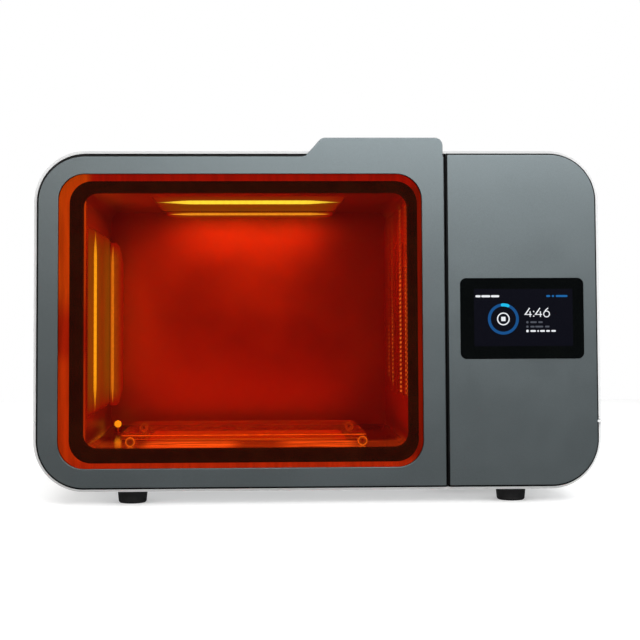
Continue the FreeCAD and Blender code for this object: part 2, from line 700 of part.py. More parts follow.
# floor
z0 = room_low - sheet_metal
lens = new_body("floor_window")
pad(lens, "XY_Plane", z0 - 3, z0, ("round", -177, 42, -67, 77, 5))
lightbox = new_body("floor_light_box")
pad(lightbox, "XY_Plane", z0 - 12, z0 - 3, ("round", -174, 39, -64, 74, 5), ("round", -170, 35, -60, 70, 3))
node("floor_lamp_board", fuse(
    box(-174, 39, -64, 74, z0 - 13.6, z0 - 12),
    *lamps(spread(-168, 33, 8), spread(-58, 68, 5), z0 - 12.2, 2.4, 1)))
node("floor_heat_sink", fins("z", -150, 20, -56, 66, z0.v - 13.6, z0.v - 16.6, z0.v - 29, 8.0, "ceiling"))
# left wall
x0 = room_left - sheet_metal
lens = new_body("left_window")
pad(lens, "YZ_Plane", x0 - 3, x0, ("round", -139, 87, 73, 272, 5))
lightbox = new_body("left_light_box")
pad(lightbox, "YZ_Plane", x0 - 12, x0 - 3, ("round", -136, 84, 76, 269, 5), ("round", -132, 80, 80.6, 265, 3))
node("left_lamp_board", fuse(
    box(x0 - 13.6, x0 - 12, -136, 84, 76, 269),
    *[cone("x", x0 - 12.2, y, z, 2.6, 1.6, 2.4) for y in spread(-130, 78, 8) for z in spread(83, 262, 7)]))
node("left_heat_sink", fins("x", -126, 72, 84, 261, x0.v - 13.6, x0.v - 16.6, x0.v - 38, 8.0, "left"))

# perforated vent plate behind the three slots of the right wall
grille = new_body("vent_grille")
pad(grille, "YZ_Plane", room_right + sheet_metal, room_right + sheet_metal + 1,
    ("round", -112, 46, 79, 280, 4))
refresh(grille)
vent_sk = sketch(grille, "YZ_Plane", room_right + sheet_metal + 2,
                 [("circle", c + d, 99.0, 0.95) for c in (-85, -20, 22) for d in (-1.9, 1.9)])
vent = grille.newObject("PartDesign::Pocket", tag("pocket"))
vent.Profile = vent_sk
vent.Length = 4
grille.Tip = vent
refresh(grille)
row = grille.newObject("PartDesign::LinearPattern", tag("pattern"))
row.Originals = [vent]
row.Direction = (vent_sk, ["V_Axis"])
row.Length = 148.0
row.Occurrences = 38
grille.Tip = row
refresh(grille)

# hot-air duct on the vent plate: a shallow box, open towards the chamber
dx = room_right + sheet_metal + 1
duct = new_body("hot_air_duct")
pad(duct, "YZ_Plane", dx, dx + 32, ("round", -112, 46, 79, 280, 4))
pocket(duct, "YZ_Plane", dx - 1, dx + 30.5, ("round", -110.5, 44.5, 80.5, 278.5, 3))
pocket(duct, "YZ_Plane", dx + 29, dx + 33, ("circle", blower_y, blower_z, 26),
       ("round", blower_y - 16, blower_y + 16, blower_z + 34, blower_z + 48, 3),
       ("round", blower_y - 16, blower_y + 16, blower_z - 48, blower_z - 34, 3))

# finned heater: two rods with square fins, on two end plates
heater = [cyl("z", dx + 15, c, 92, 4, 176) for c in (-88, -66)]
heater += [box(dx + 6, dx + 24, -98, -56, 96 + 12 * i, 96.8 + 12 * i) for i in range(15)]
heater += [box(dx + 3, dx + 27, -102, -52, z, z + 1.5) for z in (90.5, 268)]
node("heater_element", fuse(*heater))

bx = dx + 32
blow = new_body("blower_housing")
pad(blow, "YZ_Plane", bx, bx + 32, ("circle", blower_y, blower_z, 56))
pocket(blow, "YZ_Plane", bx - 1, bx + 30, ("circle", blower_y, blower_z, 53.5))
pocket(blow, "YZ_Plane", bx + 29, bx + 33, ("circle", blower_y, blower_z, 5))
imp = new_body("blower_impeller")
pad(imp, "YZ_Plane", bx + 20, bx + 22, ("circle", blower_y, blower_z, 47))
pad(imp, "YZ_Plane", bx + 5, bx + 26, ("circle", blower_y, blower_z, 9))
pad(imp, "YZ_Plane", bx + 26, bx + 44, ("circle", blower_y, blower_z, 3))
pad(imp, "YZ_Plane", bx + 3, bx + 5, ("circle", blower_y, blower_z, 47), ("circle", blower_y, blower_z, 34))
vane_sk = sketch(imp, "YZ_Plane", bx + 4.5, [(
    "poly", (blower_y + 35, blower_z - 1), (blower_y + 46, blower_z + 4),
    (blower_y + 46, blower_z + 5.6), (blower_y + 35, blower_z + 0.8))])
vane = imp.newObject("PartDesign::Pad", tag("pad"))
vane.Profile = vane_sk
vane.Length = 16
imp.Tip = vane
refresh(imp)
wheel = imp.newObject("PartDesign::PolarPattern", tag("pattern"))
wheel.Originals = [vane]
axis_sk = sketch(imp, "YZ_Plane", 0, [("circle", blower_y, blower_z, 1)])
wheel.Axis = (axis_sk, ["N_Axis"])
wheel.Angle = 360
wheel.Occurrences = 24
imp.Tip = wheel
axis_sk.AttachmentOffset = FreeCAD.Placement(V(blower_y.v, blower_z.v, 0), FreeCAD.Rotation())
bind(axis_sk, "AttachmentOffset.Base.x", blower_y)
bind(axis_sk, "AttachmentOffset.Base.y", blower_z)
refresh(imp)

motor = new_body("blower_motor")
pad(motor, "YZ_Plane", bx + 32, bx + 34, ("circle", blower_y, blower_z, 30), ("circle", blower_y, blower_z, 3 + running_fit))
pad(motor, "YZ_Plane", bx + 34, bx + 60, ("circle", blower_y, blower_z, 22), ("circle", blower_y, blower_z, 3 + running_fit))
pocket(motor, "YZ_Plane", bx + 48, bx + 61, ("circle", blower_y, blower_z, 15))

node("thermal_cutoff", fuse(cyl("x", dx + 32, 20, 250, 8, 7), box(dx + 32, dx + 33, 6, 34, 246, 254)))

# sensor with a ball tip, standing on the chamber floor at the left
node("temperature_probe", fuse(
    cyl("z", -208.3, 33, room_low, 3.2, 1.2), cyl("z", -208.3, 33, room_low, 1.3, 9), ball(-208.3, 33, 61, 3.8)))

# ================================================================= tray
tray = new_body("curing_tray")
pad(tray, "XY_Plane", tray_top - tray_thick, tray_top, ("round", tray_left, tray_right, tray_front, tray_rear, 6))
pad(tray, "XY_Plane", tray_top - 0.5, tray_top + 1.2,
    ("round", tray_left, tray_right, tray_front, tray_rear, 6),
    ("round", tray_left + 2.0, tray_right - 2.0, tray_front + 2.0, tray_rear - 2.0, 4.5))
# each foot is a short clear tube along the depth, cut flat where the tray rests on it
feet_z = room_low + roller + 0.05
node("tray_feet", group(*[
    cut(cyl("y", fx, y0, feet_z, roller, 12), cyl("y", fx, y0 - 1, feet_z, 1.8, 14),
        box(fx - 6, fx + 6, tray_front, tray_rear, tray_top - tray_thick, tray_top + 5))
    for fx in (tray_left + 10.5, tray_right - 5.0) for y0 in (tray_front - 3, tray_rear - 9)]))

# ========================================================== cooling fan
fan = new_body("cooling_fan_frame")
pad(fan, "XZ_Plane", panel_rear_in - 25, panel_rear_in, ("round", fan_x - 40, fan_x + 40, fan_z - 40, fan_z + 40, 4),
    ("circle", fan_x, fan_z, 38))
pad(fan, "XZ_Plane", panel_rear_in - 25, panel_rear_in - 22, ("circle", fan_x, fan_z, 16), ("circle", fan_x, fan_z, 1.5 + running_fit))
for a, b in ((1, 0), (-1, 0), (0, 1), (0, -1)):
    if a:
        pad(fan, "XZ_Plane", panel_rear_in - 25, panel_rear_in - 22,
            ("round", fan_x + (14 if a > 0 else -39), fan_x + (39 if a > 0 else -14), fan_z - 2, fan_z + 2, 0.5))
    else:
        pad(fan, "XZ_Plane", panel_rear_in - 25, panel_rear_in - 22,
            ("round", fan_x - 2, fan_x + 2, fan_z + (14 if b > 0 else -39), fan_z + (39 if b > 0 else -14), 0.5))

rotor = new_body("cooling_fan_rotor")
pad(rotor, "XZ_Plane", panel_rear_in - 19, panel_rear_in - 3, ("circle", fan_x, fan_z, 16))
pad(rotor, "XZ_Plane", panel_rear_in - 24.5, panel_rear_in - 19, ("circle", fan_x, fan_z, 1.5))
# each blade is a slanted slab, swept 16 mm across and 21 mm out from the hub
blade_sk = sketch(rotor, "XY_Plane", fan_z + 14, [(
    "poly", (fan_x - 9, panel_rear_in - 17), (fan_x - 7.5, panel_rear_in - 17.5),
    (fan_x + 9, panel_rear_in - 6), (fan_x + 7.5, panel_rear_in - 5.5))])
blade = rotor.newObject("PartDesign::Pad", tag("pad"))
blade.Profile = blade_sk
blade.Length = 20.5
rotor.Tip = blade
refresh(rotor)
spin = rotor.newObject("PartDesign::PolarPattern", tag("pattern"))
spin.Originals = [blade]
hub_sk = sketch(rotor, "XZ_Plane", 0, [("circle", 0, 0, 1)])
hub_sk.AttachmentOffset = FreeCAD.Placement(V(fan_x.v, fan_z.v, 0), FreeCAD.Rotation())
bind(hub_sk, "AttachmentOffset.Base.x", fan_x)
bind(hub_sk, "AttachmentOffset.Base.y", fan_z)
spin.Axis = (hub_sk, ["N_Axis"])
spin.Angle = 360
spin.Occurrences = 7
rotor.Tip = spin
refresh(rotor)

guard = [ring("y", fan_x, 172, fan_z, r, 1) for r in (12, 22, 32, 41)]
guard += [cyl("x", fan_x - 42, 172, fan_z, 1, 84), cyl("z", fan_x, 172, fan_z - 42, 1, 84)]
for a, b in ((1, 1), (1, -1), (-1, 1), (-1, -1)):
    guard.append(cyl("y", fan_x + 29 * a, rear_out, fan_z + 29 * b, 1.2, 5))
node("fan_guard", fuse(*guard))

# =========================================================== electrics
psu = cut(box(130, 220, 0, 120, inner_low + 3, 72),
          *[box(135 + 9 * i, 139 + 9 * i, 15, 105, 71, 75) for i in range(9)])
node("power_supply", psu)
node("main_board", fuse(
    box(130, 250, 154, 155.6, 128, 208),
    box(138, 166, 140, 154.2, 136, 156), box(176, 200, 148, 154.2, 150, 174),
    box(208, 240, 142, 154.2, 136, 148), box(140, 160, 146, 154.2, 180, 200),
    *[cyl("y", 215 + 12 * i, 136, 190, 5, 18.2) for i in range(3)]))
node("standoffs", group(*[cyl("z", x, y, inner_low, 3, 3) for x in (138, 212) for y in (8, 112)],
                         *[cyl("y", x, 155.6, z, 3, 9.4) for x in (135, 245) for z in (133, 203)]))

# appliance inlet with three blades in its socket
inlet = cut(
    fuse(box(188, 224, rear_out, rear_out + 3, 30, 60), box(193, 219, 140, rear_out + 1, 35, 55)),
    box(195, 217, 148, rear_out + 4, 37.5, 52.5))
blades = [box(x - 1, x + 1, 147.5, 163, z - 2.5, z + 2.5) for x, z in ((199, 44), (206, 47.5), (213, 44))]
node("power_inlet", fuse(inlet, *blades))
switch = cut(
    fuse(box(147, 173, rear_out, rear_out + 2, 32, 58), box(151, 169, 146, rear_out + 1, 36, 54)),
    box(152.5, 167.5, 155, rear_out + 3, 36.5, 53.5),
    cyl("x", 150, 163, 45, 1.25, 20))
node("switch_housing", switch)
rocker = new_body("power_rocker")
tilt = math.radians(8)


def turn(y, z):
    return (163 + y * math.cos(tilt) + z * math.sin(tilt), 45 - y * math.sin(tilt) + z * math.cos(tilt))


pad(rocker, "YZ_Plane", 153, 167,
    ("poly",) + tuple(turn(y, z) for y, z in ((-3, -7.4), (-3, 7.4), (5.6, 7.4), (4.6, 0), (5.6, -7.4))))
pad(rocker, "YZ_Plane", 151.6, 168.4, ("circle", 163, 45, 1.2))

# catch magnets and the door sensor beside the chamber mouth
node("catch_magnets", group(*[
    cyl("y", 109, retainer_back + 1.9, c, 4.5, bulk_front - retainer_back - 1.9) for c in (89, 263)]))
node("door_sensor", box(105, 113, retainer_back + 2.4, bulk_front, 192, 214))

# ====================================================== feet and screws
feet = []
for fx in (foot_left, foot_right):
    for fy in (foot_front, foot_rear):
        feet.append(cut(
            fuse(cone("z", fx, fy, 1.2, foot_low_radius, foot_top_radius, shell_low - 1.2),
                 cone("z", fx, fy, 0, foot_low_radius - 1.0, foot_low_radius, 1.2)),
            cyl("z", fx, fy, -1, 4.5, 7), cyl("z", fx, fy, 5.9, 2.2, 8)))
node("feet", group(*feet))
node("foot_fasteners", group(*[
    screw("z", fx, fy, 3.2, 4.0, 2.8, 2.0, 13) for fx in (foot_left, foot_right) for fy in (foot_front, foot_rear)], *[
    cut(cyl("z", fx, fy, inner_low, 3.9, 3), cyl("z", fx, fy, inner_low - 1, 2.0, 5))
    for fx in (foot_left, foot_right) for fy in (foot_front, foot_rear)]))
spots = [(-250, 110), (-250, 250), (250, 110), (250, 250), (-150, 322), (0, 322), (150, 322), (-120, 25), (60, 25)]
node("rear_screws", group(*[
    screw("y", x, rear_out + 1.4, z, 3.2, 1.4, 1.5, 6, flip=True) for x, z in spots], *[
    screw("y", x, rear_out + 4.2, 45, 2.3, 1.2, 1.3, 7, flip=True) for x in (190.6, 221.4)]))
node("bulkhead_screws", group(*[
    screw("y", hinge_x + 5.2, bulk_front - 3.2, mid + s * 11, 2.2, 1.2, 1.3, 5.5)
    for mid in (hinge_low, hinge_high) for s in (-1, 1)], *[
    screw("y", x, bulk_front - 1.4, z, 3.0, 1.4, 1.5, 9) for x, z in ((-60, 19.6), (50, 19.6), (112, 45), (112, 306), (-60, 327), (50, 327))]))

# ------------------------------------------------------ check and write
doc.recompute()
bad = []
for o in doc.Objects:
    if "Invalid" in o.State or "Error" in o.State:
        bad.append("%s (%s) %s" % (o.Name, o.Label, o.State))
for o in SUBPARTS:
    s = o.Shape
    if s.isNull() or not s.isValid() or not s.Solids:
        bad.append("shape of " + o.Label)
if bad:
    raise RuntimeError("; ".join(bad))

os.makedirs("parts", exist_ok=True)
for old in os.listdir("parts"):
    if old.endswith(".step"):
        os.remove(os.path.join("parts", old))
for o in SUBPARTS:
    o.Shape.exportStep(os.path.join("parts", o.Label + ".step"))
print("%d nodes written" % len(SUBPARTS))
box_all = FreeCAD.BoundBox()
for o in SUBPARTS:
    box_all.add(o.Shape.BoundBox)
print("box %.1f %.1f  %.1f %.1f  %.1f %.1f" % (box_all.XMin, box_all.XMax, box_all.YMin, box_all.YMax, box_all.ZMin, box_all.ZMax))
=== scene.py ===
"""Looks of the curing chamber: materials for every piece, the lit display, studio and camera."""

import json
import math

import bmesh
import bpy
from mathutils import Matrix, Vector


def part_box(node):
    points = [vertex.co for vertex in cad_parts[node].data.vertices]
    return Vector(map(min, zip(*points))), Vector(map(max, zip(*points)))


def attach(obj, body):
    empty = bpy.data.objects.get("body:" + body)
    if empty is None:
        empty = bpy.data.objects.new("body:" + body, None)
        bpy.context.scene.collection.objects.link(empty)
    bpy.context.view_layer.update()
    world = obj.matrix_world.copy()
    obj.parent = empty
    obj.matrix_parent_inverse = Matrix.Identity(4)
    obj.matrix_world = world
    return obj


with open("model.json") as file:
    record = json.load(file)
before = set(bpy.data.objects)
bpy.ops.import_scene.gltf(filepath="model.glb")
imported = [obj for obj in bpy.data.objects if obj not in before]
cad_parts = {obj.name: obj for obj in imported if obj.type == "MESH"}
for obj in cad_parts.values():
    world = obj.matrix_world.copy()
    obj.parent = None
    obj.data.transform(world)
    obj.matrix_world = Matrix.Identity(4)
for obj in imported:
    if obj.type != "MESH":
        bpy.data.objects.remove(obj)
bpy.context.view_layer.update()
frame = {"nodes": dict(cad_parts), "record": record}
NODES = frame["nodes"]
scene = bpy.context.scene
scene.view_settings.view_transform = "Standard"
scene.view_settings.look = "None"


# ---------------------------------------------------------------- node graphs


class Graph:
    """A material's node tree, written as a few calls. Sizes are in metres."""

    def __init__(self, name):
        self.material = bpy.data.materials.new(name)
        self.material.use_nodes = True
        self.tree = self.material.node_tree
        self.tree.nodes.clear()
        self.output = self.tree.nodes.new("ShaderNodeOutputMaterial")
        self.place = self.tree.nodes.new("ShaderNodeTexCoord").outputs["Object"]

    def new(self, kind, **settings):
        node = self.tree.nodes.new(kind)
        for key, value in settings.items():
            setattr(node, key, value)
        return node

    def feed(self, socket, value):
        if isinstance(value, bpy.types.NodeSocket):
            self.tree.links.new(value, socket)
        elif hasattr(socket, "default_value"):
            wanted = getattr(socket.default_value, "__len__", lambda: 1)()
            if wanted == 4 and not isinstance(value, (int, float)) and len(value) == 3:
                value = (*value, 1.0)
            socket.default_value = value

    def math(self, operation, a, b=0.0, c=0.0, clamp=False):
        node = self.new("ShaderNodeMath", operation=operation, use_clamp=clamp)
        for socket, value in zip(node.inputs, (a, b, c)):
            self.feed(socket, value)
        return node.outputs[0]

    def xyz(self):
        node = self.new("ShaderNodeSeparateXYZ")
        self.feed(node.inputs[0], self.place)
        return node.outputs

    def scaled(self, stretch):
        if stretch is None:
            return self.place
        node = self.new("ShaderNodeMapping")
        self.feed(node.inputs["Vector"], self.place)
        node.inputs["Scale"].default_value = stretch
        return node.outputs[0]

    def noise(self, size, detail=2.0, rough=0.5, stretch=None, warp=0.0):
        node = self.new("ShaderNodeTexNoise")
        self.feed(node.inputs["Vector"], self.scaled(stretch))
        node.inputs["Scale"].default_value = 1.0 / size
        node.inputs["Detail"].default_value = detail
        node.inputs["Roughness"].default_value = rough
        node.inputs["Distortion"].default_value = warp
        return node.outputs["Fac"]

    def cells(self, size, feature="F1", out="Distance", stretch=None, jitter=1.0):
        node = self.new("ShaderNodeTexVoronoi", feature=feature)
        self.feed(node.inputs["Vector"], self.scaled(stretch))
        node.inputs["Scale"].default_value = 1.0 / size
        node.inputs["Randomness"].default_value = jitter
        return node.outputs[out]

    def span(self, value, low, high, to_low=0.0, to_high=1.0, smooth=True):
        node = self.new(
            "ShaderNodeMapRange", interpolation_type="SMOOTHSTEP" if smooth else "LINEAR"
        )
        node.clamp = True
        for name, v in (
            ("Value", value),
            ("From Min", low),
            ("From Max", high),
            ("To Min", to_low),
            ("To Max", to_high),
        ):
            self.feed(node.inputs[name], v)
        return node.outputs["Result"]

    def blend(self, factor, a, b, kind="MIX"):
        node = self.new("ShaderNodeMix", data_type="RGBA", blend_type=kind)
        node.clamp_factor = True
        self.feed(node.inputs[0], factor)
        self.feed(node.inputs[6], a)
        self.feed(node.inputs[7], b)
        return node.outputs[2]

    def times(self, colour, amount):
        """A colour or a socket multiplied by a number or a socket."""
        node = self.new("ShaderNodeVectorMath", operation="SCALE")
        self.feed(node.inputs[0], colour)
        self.feed(node.inputs["Scale"], amount)
        return node.outputs[0]

    def plus(self, a, b):
        node = self.new("ShaderNodeVectorMath", operation="ADD")
        self.feed(node.inputs[0], a)
        self.feed(node.inputs[1], b)
        return node.outputs[0]

    def by_pane(self, through, bare=(0.0, 0.0, 0.0)):
        """A light's colour as set for the closed orange pane, or bare with the door open."""
        passed = self.new("ShaderNodeLightPath").outputs["Transmission Depth"]
        return self.blend(self.math("GREATER_THAN", passed, 0.5), bare, through)

    def bump(self, height, distance, strength=1.0, base=None):
        node = self.new("ShaderNodeBump")
        node.inputs["Strength"].default_value = strength
        node.inputs["Distance"].default_value = distance
        self.feed(node.inputs["Height"], height)
        if base is not None:
            self.feed(node.inputs["Normal"], base)
        return node.outputs[0]

    def finish(self, **sockets):
        shader = self.new("ShaderNodeBsdfPrincipled")
        for key, value in sockets.items():
            self.feed(shader.inputs[key.replace("_", " ")], value)
        self.tree.links.new(shader.outputs[0], self.output.inputs["Surface"])
        self.shader = shader
        return self.material


def shade(colour, amount):
    return tuple(min(1.0, c * amount) for c in colour)


def moulded(name, colour, rough=0.45, grain=0.0007, relief=0.00002, vary=0.07, cloud=0.06, **extra):
    """Moulded plastic or rubber: soft tone changes, a fine texture and uneven gloss."""
    g = Graph(name)
    cloud_map = g.noise(cloud, 3.0)
    fine = g.noise(grain, 2.0)
    tone = g.blend(cloud_map, shade(colour, 1 - vary), shade(colour, 1 + vary))
    tone = g.blend(g.math("MULTIPLY", fine, 0.25), tone, shade(colour, 1 + 2 * vary))
    gloss = g.span(g.noise(cloud * 0.4, 3.0), 0.3, 0.7, rough - 0.04, rough + 0.05)
    return g.finish(
        Base_Color=tone, Roughness=gloss, Normal=g.bump(fine, relief), **extra
    )


def brushed(name, colour, rough=0.28, stretch=(0.04, 1, 1), line=0.0004, relief=0.00001, vary=0.08, metal=1.0, **extra):
    """Metal with a grain drawn out along one axis, with faint smudges."""
    g = Graph(name)
    lines = g.noise(line, 3.0, 0.6, stretch)
    smudge = g.noise(0.035, 4.0, 0.6, warp=0.6)
    tone = g.blend(lines, shade(colour, 1 - vary), shade(colour, 1 + vary))
    tone = g.blend(g.math("MULTIPLY", smudge, 0.35), tone, shade(colour, 1 - 1.6 * vary))
    gloss = g.math(
        "ADD", g.span(smudge, 0.3, 0.75, rough - 0.05, rough + 0.07), g.math("MULTIPLY", lines, 0.04)
    )
    return g.finish(
        Base_Color=tone, Roughness=gloss, Metallic=metal, Normal=g.bump(lines, relief), **extra
    )


# ------------------------------------------------------------------ materials


def make_grey_face():
    """Satin metallic paint: grey with a blue-green cast and very fine flakes."""
    g = Graph("grey_face")
    flakes = g.cells(0.00035, out="Color")
    split = g.new("ShaderNodeSeparateColor")
    g.feed(split.inputs[0], flakes)
    flake = split.outputs[0]
    broad = g.noise(0.16, 2.0)
    base = (0.181, 0.213, 0.223)
    tone = g.blend(flake, shade(base, 0.86), shade(base, 1.14))
    tone = g.blend(broad, tone, shade(base, 1.04))
    # painted shade: the cut edges of the sheet, the rim of the window opening among them, are made near black so they
    # show no highlight
    x, y, z = g.xyz()
    tone = g.blend(g.span(y, -0.17297, -0.17285), tone, (0.018, 0.020, 0.021))
    gloss = g.span(g.noise(0.05, 4.0, 0.6), 0.3, 0.7, 0.38, 0.42)
    return g.finish(
        Base_Color=tone,
        Metallic=0.85,
        Roughness=gloss,
        Normal=g.bump(flake, 0.000003),
    )


def make_light_shell():
    return moulded("light_shell", (0.74, 0.75, 0.755), rough=0.42, grain=0.0009, relief=0.000015, vary=0.03, cloud=0.12)


def make_orange_window():
    """Clear orange acrylic: it lets red through, a little green and hardly any blue."""
    g = Graph("orange_window")
    drift = g.noise(0.09, 2.0)
    tint = g.blend(drift, (0.90, 0.019, 0.0008), (0.95, 0.022, 0.0011))
    return g.finish(
        Base_Color=tint,
        Roughness=0.0,
        IOR=1.49,
        Transmission_Weight=1.0,
        Specular_IOR_Level=0.3,
    )


# painted highlights of the perforated right wall, rows of bright dots standing in for lit hole rims: first and last
# depth, bottom, top, brightness, pitch
HOLE_GLINT_STRIPS = [
    (-0.128, -0.114, 0.097, 0.247, 1.05, 0.00450),
    (-0.114, -0.100, 0.097, 0.247, 1.05, 0.00450),
    (-0.073, -0.053, 0.097, 0.250, 1.25, 0.00450),
    (0.002, 0.020, 0.102, 0.205, 0.62, 0.00450),
    (0.038, 0.058, 0.108, 0.190, 0.34, 0.00450),
]


def make_polished_steel():
    """Chamber liner: bright sheet, mirror-like on the floor and satin on the walls."""
    g = Graph("polished_steel")
    x, y, z = g.xyz()
    floor_part = g.math("MULTIPLY", g.span(z, 0.052, 0.058, 1.0, 0.0), g.span(y, -0.1490, -0.1480))
    smudge = g.noise(0.09, 4.0, 0.6)
    lines = g.noise(0.0005, 3.0, 0.6, (0.03, 0.03, 1.0))
    wall = g.span(smudge, 0.3, 0.75, 0.34, 0.46)
    low = g.span(smudge, 0.3, 0.75, 0.10, 0.20)
    gloss = g.math("ADD", g.math("MULTIPLY", floor_part, low), g.math("MULTIPLY", g.math("SUBTRACT", 1.0, floor_part), wall))
    base = (0.30, 0.235, 0.20)
    tone = g.blend(smudge, shade(base, 0.9), shade(base, 1.08))
    tone = g.blend(g.math("MULTIPLY", lines, 0.3), tone, shade(base, 0.85))
    # the right wall, with its rows of small punched holes, takes a redder copy of the steel colour
    right_wall = g.span(x, 0.0890, 0.0894)
    tone = g.blend(g.math("MULTIPLY", right_wall, g.span(y, -0.1490, -0.1480)), tone, (0.32, 0.12, 0.10))
    # painted highlights: the hole rims glow as rows of bright dots, given off as emission
    glint_strips = None
    for i, (first, last, low_end, high_end, amount, pitch) in enumerate(HOLE_GLINT_STRIPS):
        phase = g.math("MULTIPLY_ADD", z, math.pi / pitch, i * math.pi / 2)
        row = g.math("ABSOLUTE", g.math("SINE", g.math("ADD", phase, g.math("MULTIPLY", y, 40.0))))
        dash = g.span(row, 0.50, 0.95, 0.06, 1.0)
        across = g.math("MULTIPLY", g.span(y, first, first + 0.005), g.span(y, last - 0.005, last, 1.0, 0.0))
        up = g.math("MULTIPLY", g.span(z, low_end, low_end + 0.004), g.span(z, high_end - 0.05, high_end, 1.0, 0.25))
        part = g.math("MULTIPLY", g.math("MULTIPLY", across, up), g.math("MULTIPLY", dash, amount))
        glint_strips = part if glint_strips is None else g.math("ADD", glint_strips, part)
    uneven = g.span(g.noise(0.007, 2.0), 0.3, 0.7, 0.6, 1.25)
    rim_glints = g.math("MULTIPLY", g.math("MULTIPLY", glint_strips, right_wall), uneven)
    # painted light: a faint red glow inside the vent slots
    slot_glow = g.math("MULTIPLY", g.span(x, 0.0899, 0.0903), g.span(y, -0.140, -0.135))
    glow = g.plus(g.times((0.50, 5.0, 9.0), rim_glints), g.times((0.12, 0.30, 0.0), slot_glow))
    # painted reflection: lamp light drawn out in patches and streaks over the front of the floor, given off as emission
    left_patch = g.math("MULTIPLY", g.span(x, -0.176, -0.160), g.span(x, -0.092, -0.070, 1.0, 0.0))
    right_patch = g.math("MULTIPLY", g.span(x, -0.045, -0.020), g.span(x, 0.030, 0.048, 1.0, 0.0))
    patch = g.math("ADD", g.math("ADD", left_patch, right_patch), 0.30)
    streak = g.span(g.noise(0.004, 3.0, 0.6, (0.06, 1.0, 1.0), 0.4), 0.40, 0.66, 0.25, 1.6)
    reach = g.math("MULTIPLY", g.span(y, -0.148, -0.138), g.span(y, -0.080, -0.050, 1.0, 0.0))
    sheen = g.math("MULTIPLY", g.math("MULTIPLY", patch, streak), g.math("MULTIPLY", reach, floor_part))
    glow = g.plus(glow, g.times((0.62, 2.7, 3.4), sheen))
    # painted light on the flange round the mouth, seen between door and body: brighter towards the left and the bottom,
    # given off as emission
    to_left = g.blend(g.span(z, 0.128, 0.148), (0.40, 1.15, 0.6), (0.27, 0.46, 0.5))
    to_left = g.blend(g.span(z, 0.170, 0.205), to_left, (0.43, 1.80, 0.6))
    ring = g.blend(g.span(z, 0.298, 0.304), (0.165, 0.25, 0.3), (0.27, 0.20, 0.3))
    ring = g.blend(g.span(x, -0.222, -0.214, 1.0, 0.0), ring, to_left)
    ring = g.blend(g.span(z, 0.036, 0.046, 1.0, 0.0), ring, (0.385, 0.80, 1.2))
    drawn = g.span(g.noise(0.004, 3.0, 0.6, (1.0, 1.0, 0.06), 0.3), 0.35, 0.65, 0.82, 1.16)
    flange = g.math("MULTIPLY", g.span(y, -0.1490, -0.1480, 1.0, 0.0), drawn)
    glow = g.plus(glow, g.times(ring, flange))
    glow = g.by_pane(glow)
    return g.finish(
        Base_Color=tone,
        Metallic=0.9,
        Roughness=gloss,
        Emission_Color=glow,
        Emission_Strength=1.0,
        Normal=g.bump(lines, 0.000002),
    )


WASH = (0.0, 2.1, 0.45)


def make_lamp_window(name, along, low, high, across, bands, wash, lamp=(1.0, 0.98, 0.92), red=0.20, taper=(0.80, 0.35)):
    """A lit lamp cover. bands are (centre, half width, strength) across it; wash is a
    list of (place across it, strength) for the faint light between the bands. Both
    fade at the cover's two ends."""
    g = Graph(name)
    x, y, z = g.xyz()
    run = {"x": x, "y": y, "z": z}[along]
    side = {"x": x, "y": y, "z": z}[across]
    middle, half = (low + high) / 2, (high - low) / 2
    off = g.math("ABSOLUTE", g.math("DIVIDE", g.math("SUBTRACT", run, middle), half))
    ends = g.math("SUBTRACT", 1.0, g.math("POWER", off, 6.0), clamp=True)
    frost_cloud = g.noise(0.03, 2.0)
    light = None
    for centre, width, strength in bands:
        narrow = g.math("MULTIPLY", g.span(off, taper[0], 1.0, 1.0, taper[1]), width)
        d = g.math("ABSOLUTE", g.math("DIVIDE", g.math("SUBTRACT", side, centre), narrow))
        hump = g.math("MULTIPLY", g.span(d, 0.86, 1.12, 1.0, 0.0), strength)
        light = hump if light is None else g.math("ADD", light, hump)
    dots = g.cells(0.008, out="Distance", jitter=0.0)
    light = g.math("MULTIPLY", light, g.span(dots, 0.2, 0.9, 1.08, 0.9))
    light = g.math("MULTIPLY", light, ends)
    first, last = wash[0][0], wash[-1][0]
    ramp = g.new("ShaderNodeValToRGB")
    ramp.color_ramp.interpolation = "EASE"
    g.feed(ramp.inputs[0], g.span(side, first, last, smooth=False))
    dots_at = ramp.color_ramp.elements
    while len(dots_at) < len(wash):
        dots_at.new(0.5)
    for element, (place, amount) in zip(dots_at, wash):
        element.position = (place - first) / (last - first)
        element.color = (amount, amount, amount, 1.0)
    faint = g.math("MULTIPLY", ramp.outputs["Color"], ends)
    glow = g.plus(g.times(lamp, light), g.times(WASH, faint))
    glow = g.plus(glow, g.times((red, red * 0.6, 0.0), g.span(frost_cloud, 0.3, 0.7, 0.9, 1.1)))
    bare = g.plus(g.times((0.95, 0.82, 1.25), g.math("MINIMUM", light, 1.1)), g.times((0.16, 0.12, 0.26), faint))
    glow = g.by_pane(glow, bare)
    frost = g.noise(0.0006, 2.0)
    return g.finish(
        Base_Color=g.blend(frost, (0.030, 0.035, 0.035), (0.045, 0.05, 0.05)),
        Roughness=0.85,
        Specular_IOR_Level=0.0,
        Emission_Color=glow,
        Emission_Strength=1.0,
        Normal=g.bump(frost, 0.00002),
    )


